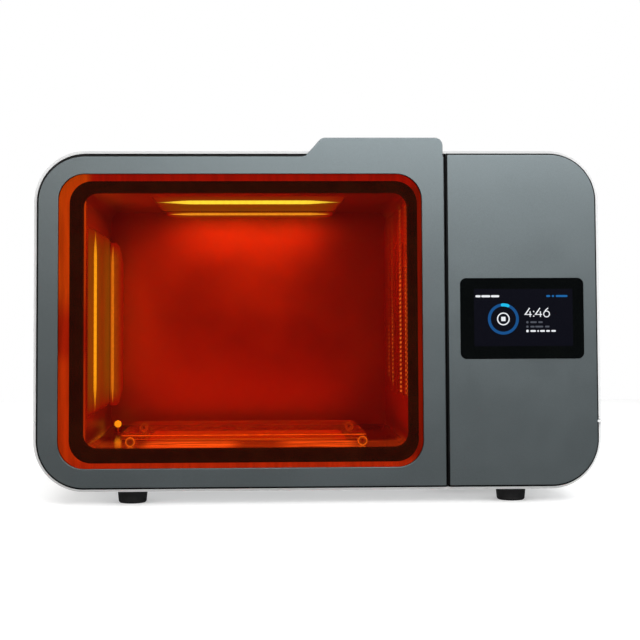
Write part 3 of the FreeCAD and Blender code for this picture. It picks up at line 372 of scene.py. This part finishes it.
def make_gasket():
    g = Graph("gasket_rubber")
    cloud = g.noise(0.02, 3.0)
    fine = g.noise(0.0005, 2.0)
    return g.finish(
        Base_Color=g.blend(cloud, (0.0022, 0.0020, 0.0018), (0.0032, 0.0029, 0.0026)),
        Roughness=g.span(cloud, 0.3, 0.7, 0.80, 0.90),
        Specular_IOR_Level=0.08,
        # painted light: the rubber gives off a faint glow, seen only through the orange pane
        Emission_Color=g.times(g.by_pane((0.011, 0.13, 0.5)), g.span(cloud, 0.3, 0.7, 0.7, 1.3)),
        Emission_Strength=1.0,
        Normal=g.bump(fine, 0.00003),
    )


def make_display_glass():
    g = Graph("display_glass")
    haze = g.noise(0.03, 3.0)
    return g.finish(
        Base_Color=g.blend(haze, (0.0012, 0.0016, 0.0018), (0.0024, 0.003, 0.003)),
        Roughness=g.span(haze, 0.3, 0.7, 0.05, 0.10),
        Specular_IOR_Level=0.24,
    )


def make_board(name, mask, copper):
    """A printed board: solder mask, tracks and rows of pads."""
    g = Graph(name)
    track = g.new("ShaderNodeTexBrick")
    track.offset = 0.5
    g.feed(track.inputs["Vector"], g.scaled((1, 1, 1)))
    track.inputs["Scale"].default_value = 90.0
    track.inputs["Mortar Size"].default_value = 0.012
    track.inputs["Color1"].default_value = (*mask, 1)
    track.inputs["Color2"].default_value = (*shade(mask, 1.15), 1)
    track.inputs["Mortar"].default_value = (*shade(mask, 1.9), 1)
    pads = g.span(g.cells(0.006, jitter=0.55), 0.16, 0.2, 1.0, 0.0)
    tone = g.blend(pads, track.outputs["Color"], copper)
    cloud = g.noise(0.02, 3.0)
    tone = g.blend(g.math("MULTIPLY", cloud, 0.3), tone, shade(mask, 0.8))
    return g.finish(
        Base_Color=tone,
        Metallic=g.math("MULTIPLY", pads, 0.9),
        Roughness=g.span(pads, 0.0, 1.0, 0.42, 0.25),
        Normal=g.bump(pads, 0.00005),
    )


def make_sheet(name, colour, rough, spangle):
    """Galvanised sheet with a spangle of flat crystals."""
    g = Graph(name)
    crystal = g.cells(spangle, out="Color")
    split = g.new("ShaderNodeSeparateColor")
    g.feed(split.inputs[0], crystal)
    tone = g.blend(split.outputs[0], shade(colour, 0.85), shade(colour, 1.12))
    cloud = g.noise(0.06, 3.0)
    tone = g.blend(g.math("MULTIPLY", cloud, 0.4), tone, shade(colour, 0.85))
    return g.finish(
        Base_Color=tone,
        Metallic=1.0,
        Roughness=g.span(split.outputs[1], 0.0, 1.0, rough - 0.06, rough + 0.08),
        Normal=g.bump(g.noise(0.001, 2.0), 0.00001),
    )


def make_insulation():
    """Pressed mineral fibre."""
    g = Graph("insulation")
    fibre = g.noise(0.0012, 6.0, 0.7, (1.0, 1.0, 0.25), 1.5)
    lump = g.noise(0.02, 4.0)
    tone = g.blend(fibre, (0.42, 0.38, 0.30), (0.72, 0.69, 0.60))
    tone = g.blend(g.math("MULTIPLY", lump, 0.5), tone, (0.55, 0.50, 0.41))
    return g.finish(
        Base_Color=tone, Roughness=0.95, Normal=g.bump(g.math("ADD", fibre, lump), 0.0008)
    )


def make_heater():
    """Heater sheath: nickel steel, blued and straw-coloured by heat."""
    g = Graph("heater_metal")
    heat = g.noise(0.03, 3.0)
    tone = g.blend(heat, (0.25, 0.22, 0.24), (0.42, 0.33, 0.22))
    tone = g.blend(g.noise(0.008, 3.0), tone, (0.20, 0.20, 0.26))
    return g.finish(
        Base_Color=tone, Metallic=1.0, Roughness=g.span(heat, 0.2, 0.8, 0.32, 0.5), Normal=g.bump(heat, 0.0001)
    )


def make_tray():
    """Clear moulded tray, with painted highlights glowing along its front edges."""
    g = Graph("clear_tray")
    x, y, z = g.xyz()
    swirl = g.noise(0.02, 3.0, warp=0.5)
    fine = g.noise(0.004, 4.0, 0.6)
    front = g.span(y, -0.1178, -0.1150, 1.0, 0.10)
    rim = g.span(z, 0.0606, 0.0612)
    low_edge = g.span(z, 0.0576, 0.0582, 0.6, 0.0)
    # painted highlights along the front top and bottom edges, which are also drawn more opaque
    edge = g.math("MULTIPLY", front, g.math("ADD", rim, low_edge))
    lit = g.math("MULTIPLY", edge, g.span(fine, 0.3, 0.75, 0.2, 1.0))
    solid = g.math("ADD", g.math("MULTIPLY", edge, 0.7), g.span(swirl, 0.3, 0.7, 0.09, 0.15), clamp=True)
    return g.finish(
        Base_Color=g.blend(swirl, (0.82, 0.84, 0.84), (0.90, 0.92, 0.92)),
        Roughness=0.10,
        IOR=1.40,
        Alpha=solid,
        Specular_IOR_Level=0.5,
        Emission_Color=g.by_pane(g.times((0.95, 7.2, 2.6), lit)),
        Emission_Strength=1.0,
        Normal=g.bump(fine, 0.0001),
    )


def make_tray_feet():
    """Clear silicone tubes, with painted highlights glowing on their front rims and centres."""
    g = Graph("tray_silicone")
    x, y, z = g.xyz()
    swirl = g.noise(0.0015, 3.0, warp=1.0)
    to_left = g.math("ABSOLUTE", g.math("ADD", x, 0.1815))
    to_right = g.math("ABSOLUTE", g.math("SUBTRACT", x, 0.0450))
    across = g.math("MINIMUM", to_left, to_right)
    up = g.math("SUBTRACT", z, 0.05535)
    reach = g.math("SQRT", g.math("ADD", g.math("MULTIPLY", across, across), g.math("MULTIPLY", up, up)))
    rim = g.span(reach, 0.0030, 0.0042)
    eye = g.span(reach, 0.0012, 0.0022, 0.0, 0.12)
    front = g.span(y, -0.1205, -0.1190, 1.0, 0.15)
    lit = g.math("MULTIPLY", g.math("ADD", rim, eye), front)
    lit = g.math("MULTIPLY", lit, g.span(swirl, 0.35, 0.7, 0.55, 1.2))
    return g.finish(
        Base_Color=g.blend(swirl, (0.35, 0.36, 0.35), (0.6, 0.61, 0.6)),
        Roughness=0.18,
        Transmission_Weight=0.4,
        IOR=1.42,
        Coat_Weight=0.6,
        Coat_Roughness=0.05,
        Emission_Color=g.by_pane(g.times((0.75, 5.5, 4.0), lit)),
        Emission_Strength=1.0,
    )


def make_probe():
    """Ball-tipped sensor: a pale ceramic ball on a steel stem."""
    g = Graph("probe_steel")
    x, y, z = g.xyz()
    ball = g.span(z, 0.0570, 0.0576)
    mottle = g.noise(0.0015, 3.0)
    # painted highlight: the ball gives off light as if lit by the ceiling lamp, seen only through the orange pane
    shine = g.math("MULTIPLY", ball, g.span(mottle, 0.3, 0.7, 0.85, 1.1))
    return g.finish(
        Base_Color=g.blend(ball, (0.52, 0.51, 0.49), (0.78, 0.77, 0.73)),
        Metallic=g.span(ball, 0.0, 1.0, 1.0, 0.0),
        Roughness=g.span(mottle, 0.3, 0.7, 0.25, 0.36),
        Emission_Color=g.by_pane(g.times((0.85, 15.0, 6.0), shine)),
        Emission_Strength=1.0,
    )


SLOT_MATERIAL = {
    "light_shell": make_light_shell(),
    "grey_face": make_grey_face(),
    "black_moulding": moulded("black_moulding", (0.0045, 0.005, 0.0055), rough=0.5, grain=0.0006, relief=0.00003, vary=0.15, Specular_IOR_Level=0.2),
    "orange_window": make_orange_window(),
    "gasket_rubber": make_gasket(),
    "display_glass": make_display_glass(),
    "display_module": brushed("display_module", (0.45, 0.46, 0.47), rough=0.35, vary=0.06),
    "circuit_board": make_board("circuit_board", (0.010, 0.085, 0.035), (0.70, 0.62, 0.42)),
    "lamp_board": make_board("lamp_board", (0.62, 0.63, 0.62), (0.85, 0.78, 0.35)),
    "polished_steel": make_polished_steel(),
    "white_moulding": moulded("white_moulding", (0.72, 0.72, 0.69), rough=0.5, vary=0.05),
    "heat_sink": brushed("heat_sink", (0.58, 0.59, 0.60), rough=0.34, stretch=(1, 0.04, 1)),
    "sheet_steel": make_sheet("sheet_steel", (0.52, 0.54, 0.55), 0.36, 0.009),
    "heater_metal": make_heater(),
    "insulation": make_insulation(),
    "dark_moulding": moulded("dark_moulding", (0.022, 0.023, 0.025), rough=0.5, vary=0.16),
    "motor_metal": brushed("motor_metal", (0.40, 0.41, 0.42), rough=0.33, stretch=(1, 1, 0.05)),
    "wire_steel": brushed("wire_steel", (0.55, 0.56, 0.57), rough=0.22, line=0.0003),
    "rocker_moulding": moulded("rocker_moulding", (0.018, 0.018, 0.019), rough=0.33, vary=0.1, cloud=0.01),
    "hinge_steel": brushed("hinge_steel", (0.50, 0.51, 0.52), rough=0.26, stretch=(1, 1, 0.05)),
    "magnet_nickel": brushed("magnet_nickel", (0.66, 0.63, 0.57), rough=0.16, vary=0.04),
    "screw_steel": brushed("screw_steel", (0.44, 0.45, 0.46), rough=0.3, line=0.0002, stretch=(1, 0.1, 1)),
    "foot_rubber": moulded("foot_rubber", (0.010, 0.010, 0.011), rough=0.7, grain=0.0004, relief=0.00005, vary=0.2, cloud=0.01),
    "probe_steel": make_probe(),
    "clear_tray": make_tray(),
    "tray_silicone": make_tray_feet(),
}
CEILING_WASH = [(-0.110, 0.12), (-0.085, 0.35), (-0.050, 0.8), (0.000, 1.0), (0.030, 0.9), (0.080, 1.0)]
LEFT_WASH = [(-0.132, 0.55), (-0.105, 1.0), (-0.050, 1.0), (0.004, 0.62), (0.050, 1.0), (0.080, 1.0)]
FLOOR_WASH = [(-0.060, 0.24), (0.070, 0.24)]
LAMP_MATERIAL = {
    "ceiling_window": make_lamp_window("lamp_window_ceiling", "x", -0.163, 0.032, "y", [(-0.032, 0.022, 1.0)], CEILING_WASH, (1.02, 36.0, 44.0), 0.22, (0.60, 0.10)),
    "left_window": make_lamp_window("lamp_window_left", "z", 0.081, 0.267, "y", [(-0.060, 0.013, 1.0)], LEFT_WASH, (0.86, 15.6, 7.0), 0.22, (0.70, 0.15)),
    "floor_window": make_lamp_window("lamp_window_floor", "x", -0.170, 0.036, "y", [(-0.036, 0.010, 1.2), (-0.0565, 0.0022, 13.0)], FLOOR_WASH, (0.075, 1.0, 0.5), 0.40),
}

for row in frame["record"]["subparts"]:
    node = NODES[row["node"]]
    finish = LAMP_MATERIAL.get(row["node"]) or SLOT_MATERIAL[row["material_slot"]]
    if not node.data.materials:
        node.data.materials.append(finish)
    for slot in node.material_slots:
        slot.material = finish


# ------------------------------------------- light covers in the rear corners


def make_corner_light(name, along, low, high, across, core, half, end, core_light, glow_light, rest=0.22):
    """A lit cover in a corner: a thin bright line at core, fading towards end."""
    g = Graph(name)
    x, y, z = g.xyz()
    run = {"x": x, "y": y, "z": z}[along]
    side = {"x": x, "y": y, "z": z}[across]
    middle, reach = (low + high) / 2, (high - low) / 2
    off = g.math("ABSOLUTE", g.math("DIVIDE", g.math("SUBTRACT", run, middle), reach))
    ends = g.span(off, 0.78, 0.98, 1.0, 0.0)
    narrow = g.math("MULTIPLY", g.span(off, 0.70, 0.97, 1.0, 0.25), half)
    away = g.math("ABSOLUTE", g.math("DIVIDE", g.math("SUBTRACT", side, core), narrow))
    lit = g.span(away, 0.8, 1.2, 1.0, 0.0)
    fade = g.span(side, core, end, 1.0, 0.0)
    grain = g.span(g.noise(0.004, 2.0), 0.2, 0.8, 0.88, 1.10)
    glow = g.plus(
        g.times(core_light, g.math("MULTIPLY", lit, g.math("MULTIPLY", g.span(off, 0.9, 0.98, 1.0, 0.0), grain))),
        g.times(glow_light, g.math("MULTIPLY", fade, g.math("MULTIPLY", ends, grain))),
    )
    glow = g.plus(glow, g.times((rest, rest * 0.6, 0.0), grain))
    bare = g.plus(g.times((0.80, 0.68, 1.10), lit), g.times((0.12, 0.09, 0.20), fade))
    glow = g.by_pane(glow, bare)
    return g.finish(
        Base_Color=g.blend(g.noise(0.0008), (0.045, 0.045, 0.045), (0.06, 0.06, 0.06)),
        Roughness=0.7,
        Specular_IOR_Level=0.1,
        Emission_Color=glow,
        Emission_Strength=1.0,
    )


def cove(name, corner, radius, low, high, material):
    """A hollow quarter-round cover in a corner. corner maps (a, b, run) to a point,
    where a and b are the distances from the two walls; its ends are drawn to a taper."""
    arc_points = 9
    points, faces, rings = [], [], []
    runs = [0.0, 0.02, 0.06, 0.12] + [0.12 + 0.76 * i / 12 for i in range(1, 12)] + [0.88, 0.94, 0.98, 1.0]
    for t in runs:
        size = radius * (0.45 + 0.55 * min(1.0, min(t, 1 - t) / 0.12) ** 0.5)
        ring = []
        section = [(-0.0001, -0.0001)]
        for i in range(arc_points + 1):
            a = math.pi / 2 * i / arc_points
            section.append((size * (1 - math.sin(a)) - 0.0001 * (i == arc_points), size * (1 - math.cos(a)) - 0.0001 * (i == 0)))
        for p in section:
            ring.append(len(points))
            points.append(corner(p[0], p[1], low + (high - low) * t))
        rings.append(ring)
    n = len(rings[0])
    for r0, r1 in zip(rings, rings[1:]):
        for i in range(n):
            j = (i + 1) % n
            faces.append((r0[i], r0[j], r1[j], r1[i]))
    faces.append(tuple(reversed(rings[0])))
    faces.append(tuple(rings[-1]))
    mesh = bpy.data.meshes.new(name)
    mesh.from_pydata(points, [], faces)
    mesh.materials.append(material)
    bm = bmesh.new()
    bm.from_mesh(mesh)
    bmesh.ops.recalc_face_normals(bm, faces=bm.faces)
    bm.to_mesh(mesh)
    bm.free()
    for face in mesh.polygons:
        face.use_smooth = len(face.vertices) == 4
    mesh.validate()
    thing = bpy.data.objects.new(name, mesh)
    scene.collection.objects.link(thing)
    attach(thing, "chassis")
    return thing


ROOM = {"left": -0.2215, "right": 0.0897, "low": 0.0507, "high": 0.2958, "back": 0.0890}
cove(
    "left_corner_light",
    lambda a, b, run: (ROOM["left"] + a, ROOM["back"] - b, run),
    0.014, 0.0775, 0.2615,
    make_corner_light("corner_light_left", "z", 0.0775, 0.2615, "x", -0.2194, 0.0013, -0.2085, (0.42, 5.4, 4.0), (0.02, 2.0, 0.4), 0.25),
)
cove(
    "ceiling_corner_light",
    lambda a, b, run: (run, ROOM["back"] - b, ROOM["high"] - a),
    0.0075, -0.1590, 0.0305,
    make_corner_light("corner_light_ceiling", "x", -0.1590, 0.0305, "z", 0.2939, 0.0012, 0.2880, (0.66, 12.5, 12.5), (0.0, 1.6, 0.4), 0.24),
)


# --------------------------------------------------------- the lit display


def plate(name, shapes, front, back, material, body="chassis"):
    """Thin raised plates on an XZ plane. shapes are closed outlines as (x, z) lists in
    millimetres, or a pair of equally long outlines (outer, inner) with a hole between."""
    points, faces = [], []

    def wall(loop_a, loop_b, closed=True):
        n = len(loop_a)
        for i in range(n if closed else n - 1):
            j = (i + 1) % n
            faces.append((loop_a[i], loop_a[j], loop_b[j], loop_b[i]))

    def loop(outline, depth):
        start = len(points)
        points.extend((x / 1000, depth, z / 1000) for x, z in outline)
        return list(range(start, len(points)))

    for shape in shapes:
        if isinstance(shape, tuple):
            outer, inner = shape
            fo, fi, bo, bi = loop(outer, front), loop(inner, front), loop(outer, back), loop(inner, back)
            wall(fo, fi)
            wall(bi, bo)
            wall(bo, fo)
            wall(fi, bi)
        else:
            fo, bo = loop(shape, front), loop(shape, back)
            faces.append(tuple(fo))
            faces.append(tuple(reversed(bo)))
            wall(bo, fo)
    mesh = bpy.data.meshes.new(name)
    mesh.from_pydata(points, [], faces)
    mesh.materials.append(material)
    mesh.validate()
    thing = bpy.data.objects.new(name, mesh)
    scene.collection.objects.link(thing)
    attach(thing, body)
    return thing


def arc(cx, cz, r, start, end, steps):
    """Points on a circle, angles in degrees clockwise from the top."""
    return [
        (cx + r * math.sin(math.radians(start + (end - start) * i / steps)), cz + r * math.cos(math.radians(start + (end - start) * i / steps)))
        for i in range(steps + 1)
    ]


def disc(cx, cz, r, steps=28):
    return arc(cx, cz, r, 0, -360 * (steps - 1) / steps, steps - 1)


def annulus(cx, cz, outer, inner, steps=72):
    return disc(cx, cz, outer, steps), disc(cx, cz, inner, steps)


def sector(cx, cz, outer, inner, start, end, steps=14):
    """A piece of a ring with rounded ends, as one outline."""
    middle, half = (outer + inner) / 2, (outer - inner) / 2
    out = arc(cx, cz, outer, end, start, steps)
    a = math.radians(start)
    px, pz = cx + middle * math.sin(a), cz + middle * math.cos(a)
    out += [(px + half * math.sin(a - t), pz + half * math.cos(a - t)) for t in (math.pi * i / 6 for i in range(1, 6))]
    out += arc(cx, cz, inner, start, end, steps)
    a = math.radians(end)
    px, pz = cx + middle * math.sin(a), cz + middle * math.cos(a)
    out += [(px - half * math.sin(a - t), pz - half * math.cos(a - t)) for t in (math.pi * i / 6 for i in range(1, 6))]
    return out


def bar(x0, x1, z, high, round_off=0.9):
    """A short rounded bar, anticlockwise."""
    r = min(high, x1 - x0) / 2 * round_off
    out = []
    for cx, cz, start in ((x1 - r, z - high / 2 + r, -90), (x1 - r, z + high / 2 - r, 0), (x0 + r, z + high / 2 - r, 90), (x0 + r, z - high / 2 + r, 180)):
        for i in range(5):
            a = math.radians(start + 22.5 * i)
            out.append((cx + r * math.cos(a), cz + r * math.sin(a)))
    return out


def stroke(path, width):
    """A line of that width along a path of points, with square ends, as one outline."""
    left, right = [], []
    for i, p in enumerate(path):
        a = path[max(0, i - 1)]
        b = path[min(len(path) - 1, i + 1)]
        dx, dz = b[0] - a[0], b[1] - a[1]
        n = math.hypot(dx, dz)
        if 0 < i < len(path) - 1:
            d1 = math.atan2(p[1] - a[1], p[0] - a[0])
            d2 = math.atan2(b[1] - p[1], b[0] - p[0])
            widen = 1 / max(0.35, math.cos((d2 - d1) / 2))
        else:
            widen = 1.0
        ox, oz = -dz / n * width / 2 * widen, dx / n * width / 2 * widen
        left.append((p[0] + ox, p[1] + oz))
        right.append((p[0] - ox, p[1] - oz))
    return right + left[::-1]


def digit_four(x, z, high, width):
    """Slanted stroke and crossbar as one line, and the upright."""
    wide = high * 0.76
    return [
        stroke([(x + wide * 0.70, z + high), (x + 0.2, z + high * 0.27), (x + wide, z + high * 0.27)], width),
        stroke([(x + wide * 0.76, z), (x + wide * 0.76, z + high * 0.62)], width),
    ]


def digit_six(x, z, high, width):
    """A round bowl and a slanted stem."""
    r = high * 0.325
    cx, cz = x + r + width * 0.35, z + r
    stem = [(cx + r * 0.55, z + high), (cx - r * 0.35, z + high * 0.74), (cx - r * 0.86, cz + r * 0.45)]
    return [annulus(cx, cz, r + width * 0.5, r - width * 0.5, 40), stroke(stem, width)]


def make_glow(name, colour, strength, back=(0.002, 0.002, 0.003)):
    """A lit area of the display, with the faint grid of its picture elements."""
    g = Graph(name)
    x, y, z = g.xyz()
    cell = 0.0002
    across = g.math("ABSOLUTE", g.math("SINE", g.math("MULTIPLY", x, math.pi / cell)))
    down = g.math("ABSOLUTE", g.math("SINE", g.math("MULTIPLY", z, math.pi / cell)))
    grid = g.span(g.math("MULTIPLY", across, down), 0.0, 0.25, 0.80, 1.04)
    return g.finish(
        Base_Color=back,
        Roughness=0.2,
        Specular_IOR_Level=0.2,
        Emission_Color=g.times(colour, grid),
        Emission_Strength=strength,
    )


glass_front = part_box("display_glass")[0].y
near, deep = glass_front - 0.00003, glass_front + 0.00005
near_top = near - 0.00003
WHITE = make_glow("display_white", (0.86, 0.88, 0.92), 1.0)
GREY = make_glow("display_grey", (0.085, 0.092, 0.115), 1.0)
BLUE = make_glow("display_blue", (0.007, 0.078, 0.25), 1.0)
CYAN = make_glow("display_cyan", (0.012, 0.52, 0.85), 1.0)
LABEL = make_glow("display_label_blue", (0.010, 0.13, 0.38), 1.0)
SCREEN = make_glow("display_field", (0.0012, 0.0014, 0.0042), 1.0)

SCREEN_DROP = 1.55  # the content sits this much lower than first drawn


def lower(shapes):
    """The same outlines, moved down with the display."""
    drop = lambda outline: [(x, z - SCREEN_DROP) for x, z in outline]
    return [tuple(drop(part) for part in s) if isinstance(s, tuple) else drop(s) for s in shapes]


plate("display_lit_field", lower([bar(147.0, 240.9, 176.4, 54.0, 0.03)]), near, deep, SCREEN)
plate("display_progress_ring", lower([annulus(174.8, 175.0, 14.7, 12.0)]), near_top, deep, BLUE)
plate("display_progress_mark", lower([sector(174.8, 175.0, 14.8, 11.9, -4, 20)]), near_top - 0.00002, deep, CYAN)
stop_key = [annulus(174.8, 175.1, 6.05, 4.95, 48), bar(172.75, 176.85, 175.1, 4.1, 0.25)]
time_left = digit_four(195.4, 176.9, 8.5, 0.92) + [disc(203.75, 177.7, 0.66, 16), disc(203.75, 182.0, 0.66, 16)]
time_left += digit_four(205.2, 176.9, 8.5, 0.92) + digit_six(212.9, 176.9, 8.5, 0.92)
words = [bar(148.5, 153.4, 196.6, 2.0), bar(154.0, 162.6, 196.6, 2.0), bar(163.2, 171.1, 196.6, 2.0)]
last_line = [disc(197.6, 163.6, 1.25), bar(200.4, 205.6, 163.6, 1.7), bar(207.0, 208.4, 163.6, 1.7), bar(209.6, 214.2, 163.6, 1.7), bar(215.4, 218.9, 163.6, 1.7), bar(220.3, 224.6, 163.6, 1.7)]
plate("display_readout", lower(stop_key + time_left + words + last_line), near_top, deep, WHITE)
notes = [disc(197.6, 171.9, 1.1), bar(200.4, 206.5, 171.9, 1.6), bar(208.0, 212.2, 171.9, 1.6)]
notes += [disc(197.6, 167.7, 1.1), bar(200.4, 204.4, 167.7, 1.6), bar(205.1, 212.6, 167.7, 1.6), bar(214.4, 218.6, 167.7, 1.6)]
plate("display_notes", lower(notes), near_top, deep, GREY)
plate("display_status", lower([bar(215.9, 219.6, 196.6, 1.9), bar(221.2, 223.4, 196.6, 1.9), bar(225.0, 236.1, 196.6, 1.9)]), near_top, deep, LABEL)


# --------------------------------------------------------------------- studio


def make_floor():
    g = Graph("studio_floor")
    cloud = g.noise(0.4, 2.0)
    return g.finish(
        Base_Color=g.blend(cloud, (0.83, 0.83, 0.83), (0.86, 0.86, 0.86)),
        Roughness=0.9,
        Specular_IOR_Level=0.1,
        Emission_Color=(1.0, 1.0, 1.0, 1.0),
        Emission_Strength=0.28,
        Normal=g.bump(g.noise(0.003, 2.0), 0.00005),
    )


def sheet_object(name, x0, x1, y0, y1, z, material):
    mesh = bpy.data.meshes.new(name)
    mesh.from_pydata([(x0, y0, z), (x1, y0, z), (x1, y1, z), (x0, y1, z)], [], [(0, 1, 2, 3)])
    mesh.materials.append(material)
    thing = bpy.data.objects.new(name, mesh)
    scene.collection.objects.link(thing)
    thing.visible_glossy = False
    thing.visible_transmission = False
    return thing


sheet_object("studio_floor", -1.8, 1.8, -0.80, 1.4, -0.0002, make_floor())


def area(name, place, target, wide, high, power, colour=(1, 1, 1), glossy=True):
    lamp = bpy.data.lights.new(name, "AREA")
    lamp.shape = "RECTANGLE"
    lamp.size, lamp.size_y = wide, high
    lamp.energy = power
    lamp.color = colour
    thing = bpy.data.objects.new(name, lamp)
    scene.collection.objects.link(thing)
    away = (Vector(place) - Vector(target)).normalized()
    side = Vector((0, 0, 1)).cross(away)
    side = side.normalized() if side.length > 1e-6 else Vector((1, 0, 0))
    up = away.cross(side)
    thing.matrix_world = Matrix((
        (side.x, up.x, away.x, place[0]),
        (side.y, up.y, away.y, place[1]),
        (side.z, up.z, away.z, place[2]),
        (0, 0, 0, 1),
    ))
    thing.visible_camera = False
    thing.visible_transmission = False
    thing.visible_glossy = glossy
    return thing


area("key_softbox", (0.42, -1.60, 1.16), (0.0, -0.17, 0.22), 1.7, 0.95, 31.0)
area("top_softbox", (0.0, 0.0, 2.0), (0.0, 0.0, 0.0), 3.0, 2.8, 50.0)
area("left_fill", (-2.2, -0.2, 1.1), (0.0, 0.0, 0.15), 1.0, 1.2, 10.0, (1.0, 0.96, 0.92))
area("left_front_fill", (-1.05, -1.75, 0.75), (-0.2, -0.17, 0.18), 0.5, 0.9, 2.4, (1.0, 0.84, 0.72))
area("right_fill", (2.2, 0.2, 1.1), (0.0, 0.0, 0.15), 1.0, 1.2, 7.0)
area("rear_softbox", (-0.3, 1.9, 1.3), (0.0, 0.1, 0.15), 1.6, 1.0, 8.0)

world = bpy.data.worlds.new("studio")
scene.world = world
world.use_nodes = True
wt = world.node_tree
wt.nodes.clear()
seen = wt.nodes.new("ShaderNodeBackground")
seen.inputs["Color"].default_value = (1, 1, 1, 1)
seen.inputs["Strength"].default_value = 1.0
unseen = wt.nodes.new("ShaderNodeBackground")
unseen.inputs["Color"].default_value = (0.95, 0.98, 1.0, 1)
unseen.inputs["Strength"].default_value = 0.03
through = wt.nodes.new("ShaderNodeBackground")
through.inputs["Color"].default_value = (1, 1, 1, 1)
through.inputs["Strength"].default_value = 0.35
path = wt.nodes.new("ShaderNodeLightPath")
clear = wt.nodes.new("ShaderNodeMixShader")
choose = wt.nodes.new("ShaderNodeMixShader")
end = wt.nodes.new("ShaderNodeOutputWorld")
wt.links.new(path.outputs["Is Transmission Ray"], clear.inputs[0])
wt.links.new(unseen.outputs[0], clear.inputs[1])
wt.links.new(through.outputs[0], clear.inputs[2])
wt.links.new(path.outputs["Is Camera Ray"], choose.inputs[0])
wt.links.new(clear.outputs[0], choose.inputs[1])
wt.links.new(seen.outputs[0], choose.inputs[2])
wt.links.new(choose.outputs[0], end.inputs["Surface"])

# the light that the chamber lamps send into the room, from just in front of their covers
area("ceiling_lamp_light", (-0.0655, -0.032, 0.2940), (-0.0655, -0.032, 0.0), 0.17, 0.040, 0.75, (1.0, 0.36, 0.80))
area("left_lamp_light", (-0.2195, -0.060, 0.172), (0.1, -0.060, 0.172), 0.026, 0.165, 0.24, (1.0, 0.36, 0.80))
area("floor_lamp_light", (-0.0675, -0.050, 0.0640), (-0.0675, -0.050, 0.30), 0.23, 0.11, 0.25, (1.0, 0.36, 0.80))
area("front_low_light", (-0.0675, -0.135, 0.080), (-0.0675, 0.089, 0.115), 0.28, 0.03, 0.010, (1.0, 0.36, 0.80))

# --------------------------------------------------------------------- camera

lens = bpy.data.cameras.new("camera")
lens.sensor_width = 36.0
lens.lens = 1313.3 / 640.0 * 36.0
lens.shift_x, lens.shift_y = 0.05, -0.10
lens.clip_start, lens.clip_end = 0.05, 50.0
camera = bpy.data.objects.new("camera", lens)
scene.collection.objects.link(camera)
scene.camera = camera


def aim(place, yaw, pitch, roll):
    """Looking along +Y with Z up; yaw turns to +X, pitch up, roll to the right."""
    yaw, pitch, roll = (math.radians(a) for a in (yaw, pitch, roll))
    ahead = Vector((math.sin(yaw) * math.cos(pitch), math.cos(yaw) * math.cos(pitch), math.sin(pitch)))
    right = Vector((math.cos(yaw), -math.sin(yaw), 0))
    up = right.cross(ahead)
    r = math.cos(roll) * right + math.sin(roll) * up
    u = -math.sin(roll) * right + math.cos(roll) * up
    return Matrix((
        (r.x, u.x, -ahead.x, place[0]),
        (r.y, u.y, -ahead.y, place[1]),
        (r.z, u.z, -ahead.z, place[2]),
        (0, 0, 0, 1),
    ))


camera.matrix_world = aim((-0.0668, -1.4099, 0.1739), 1.76, 2.763, -0.22)

bpy.context.view_layer.update()
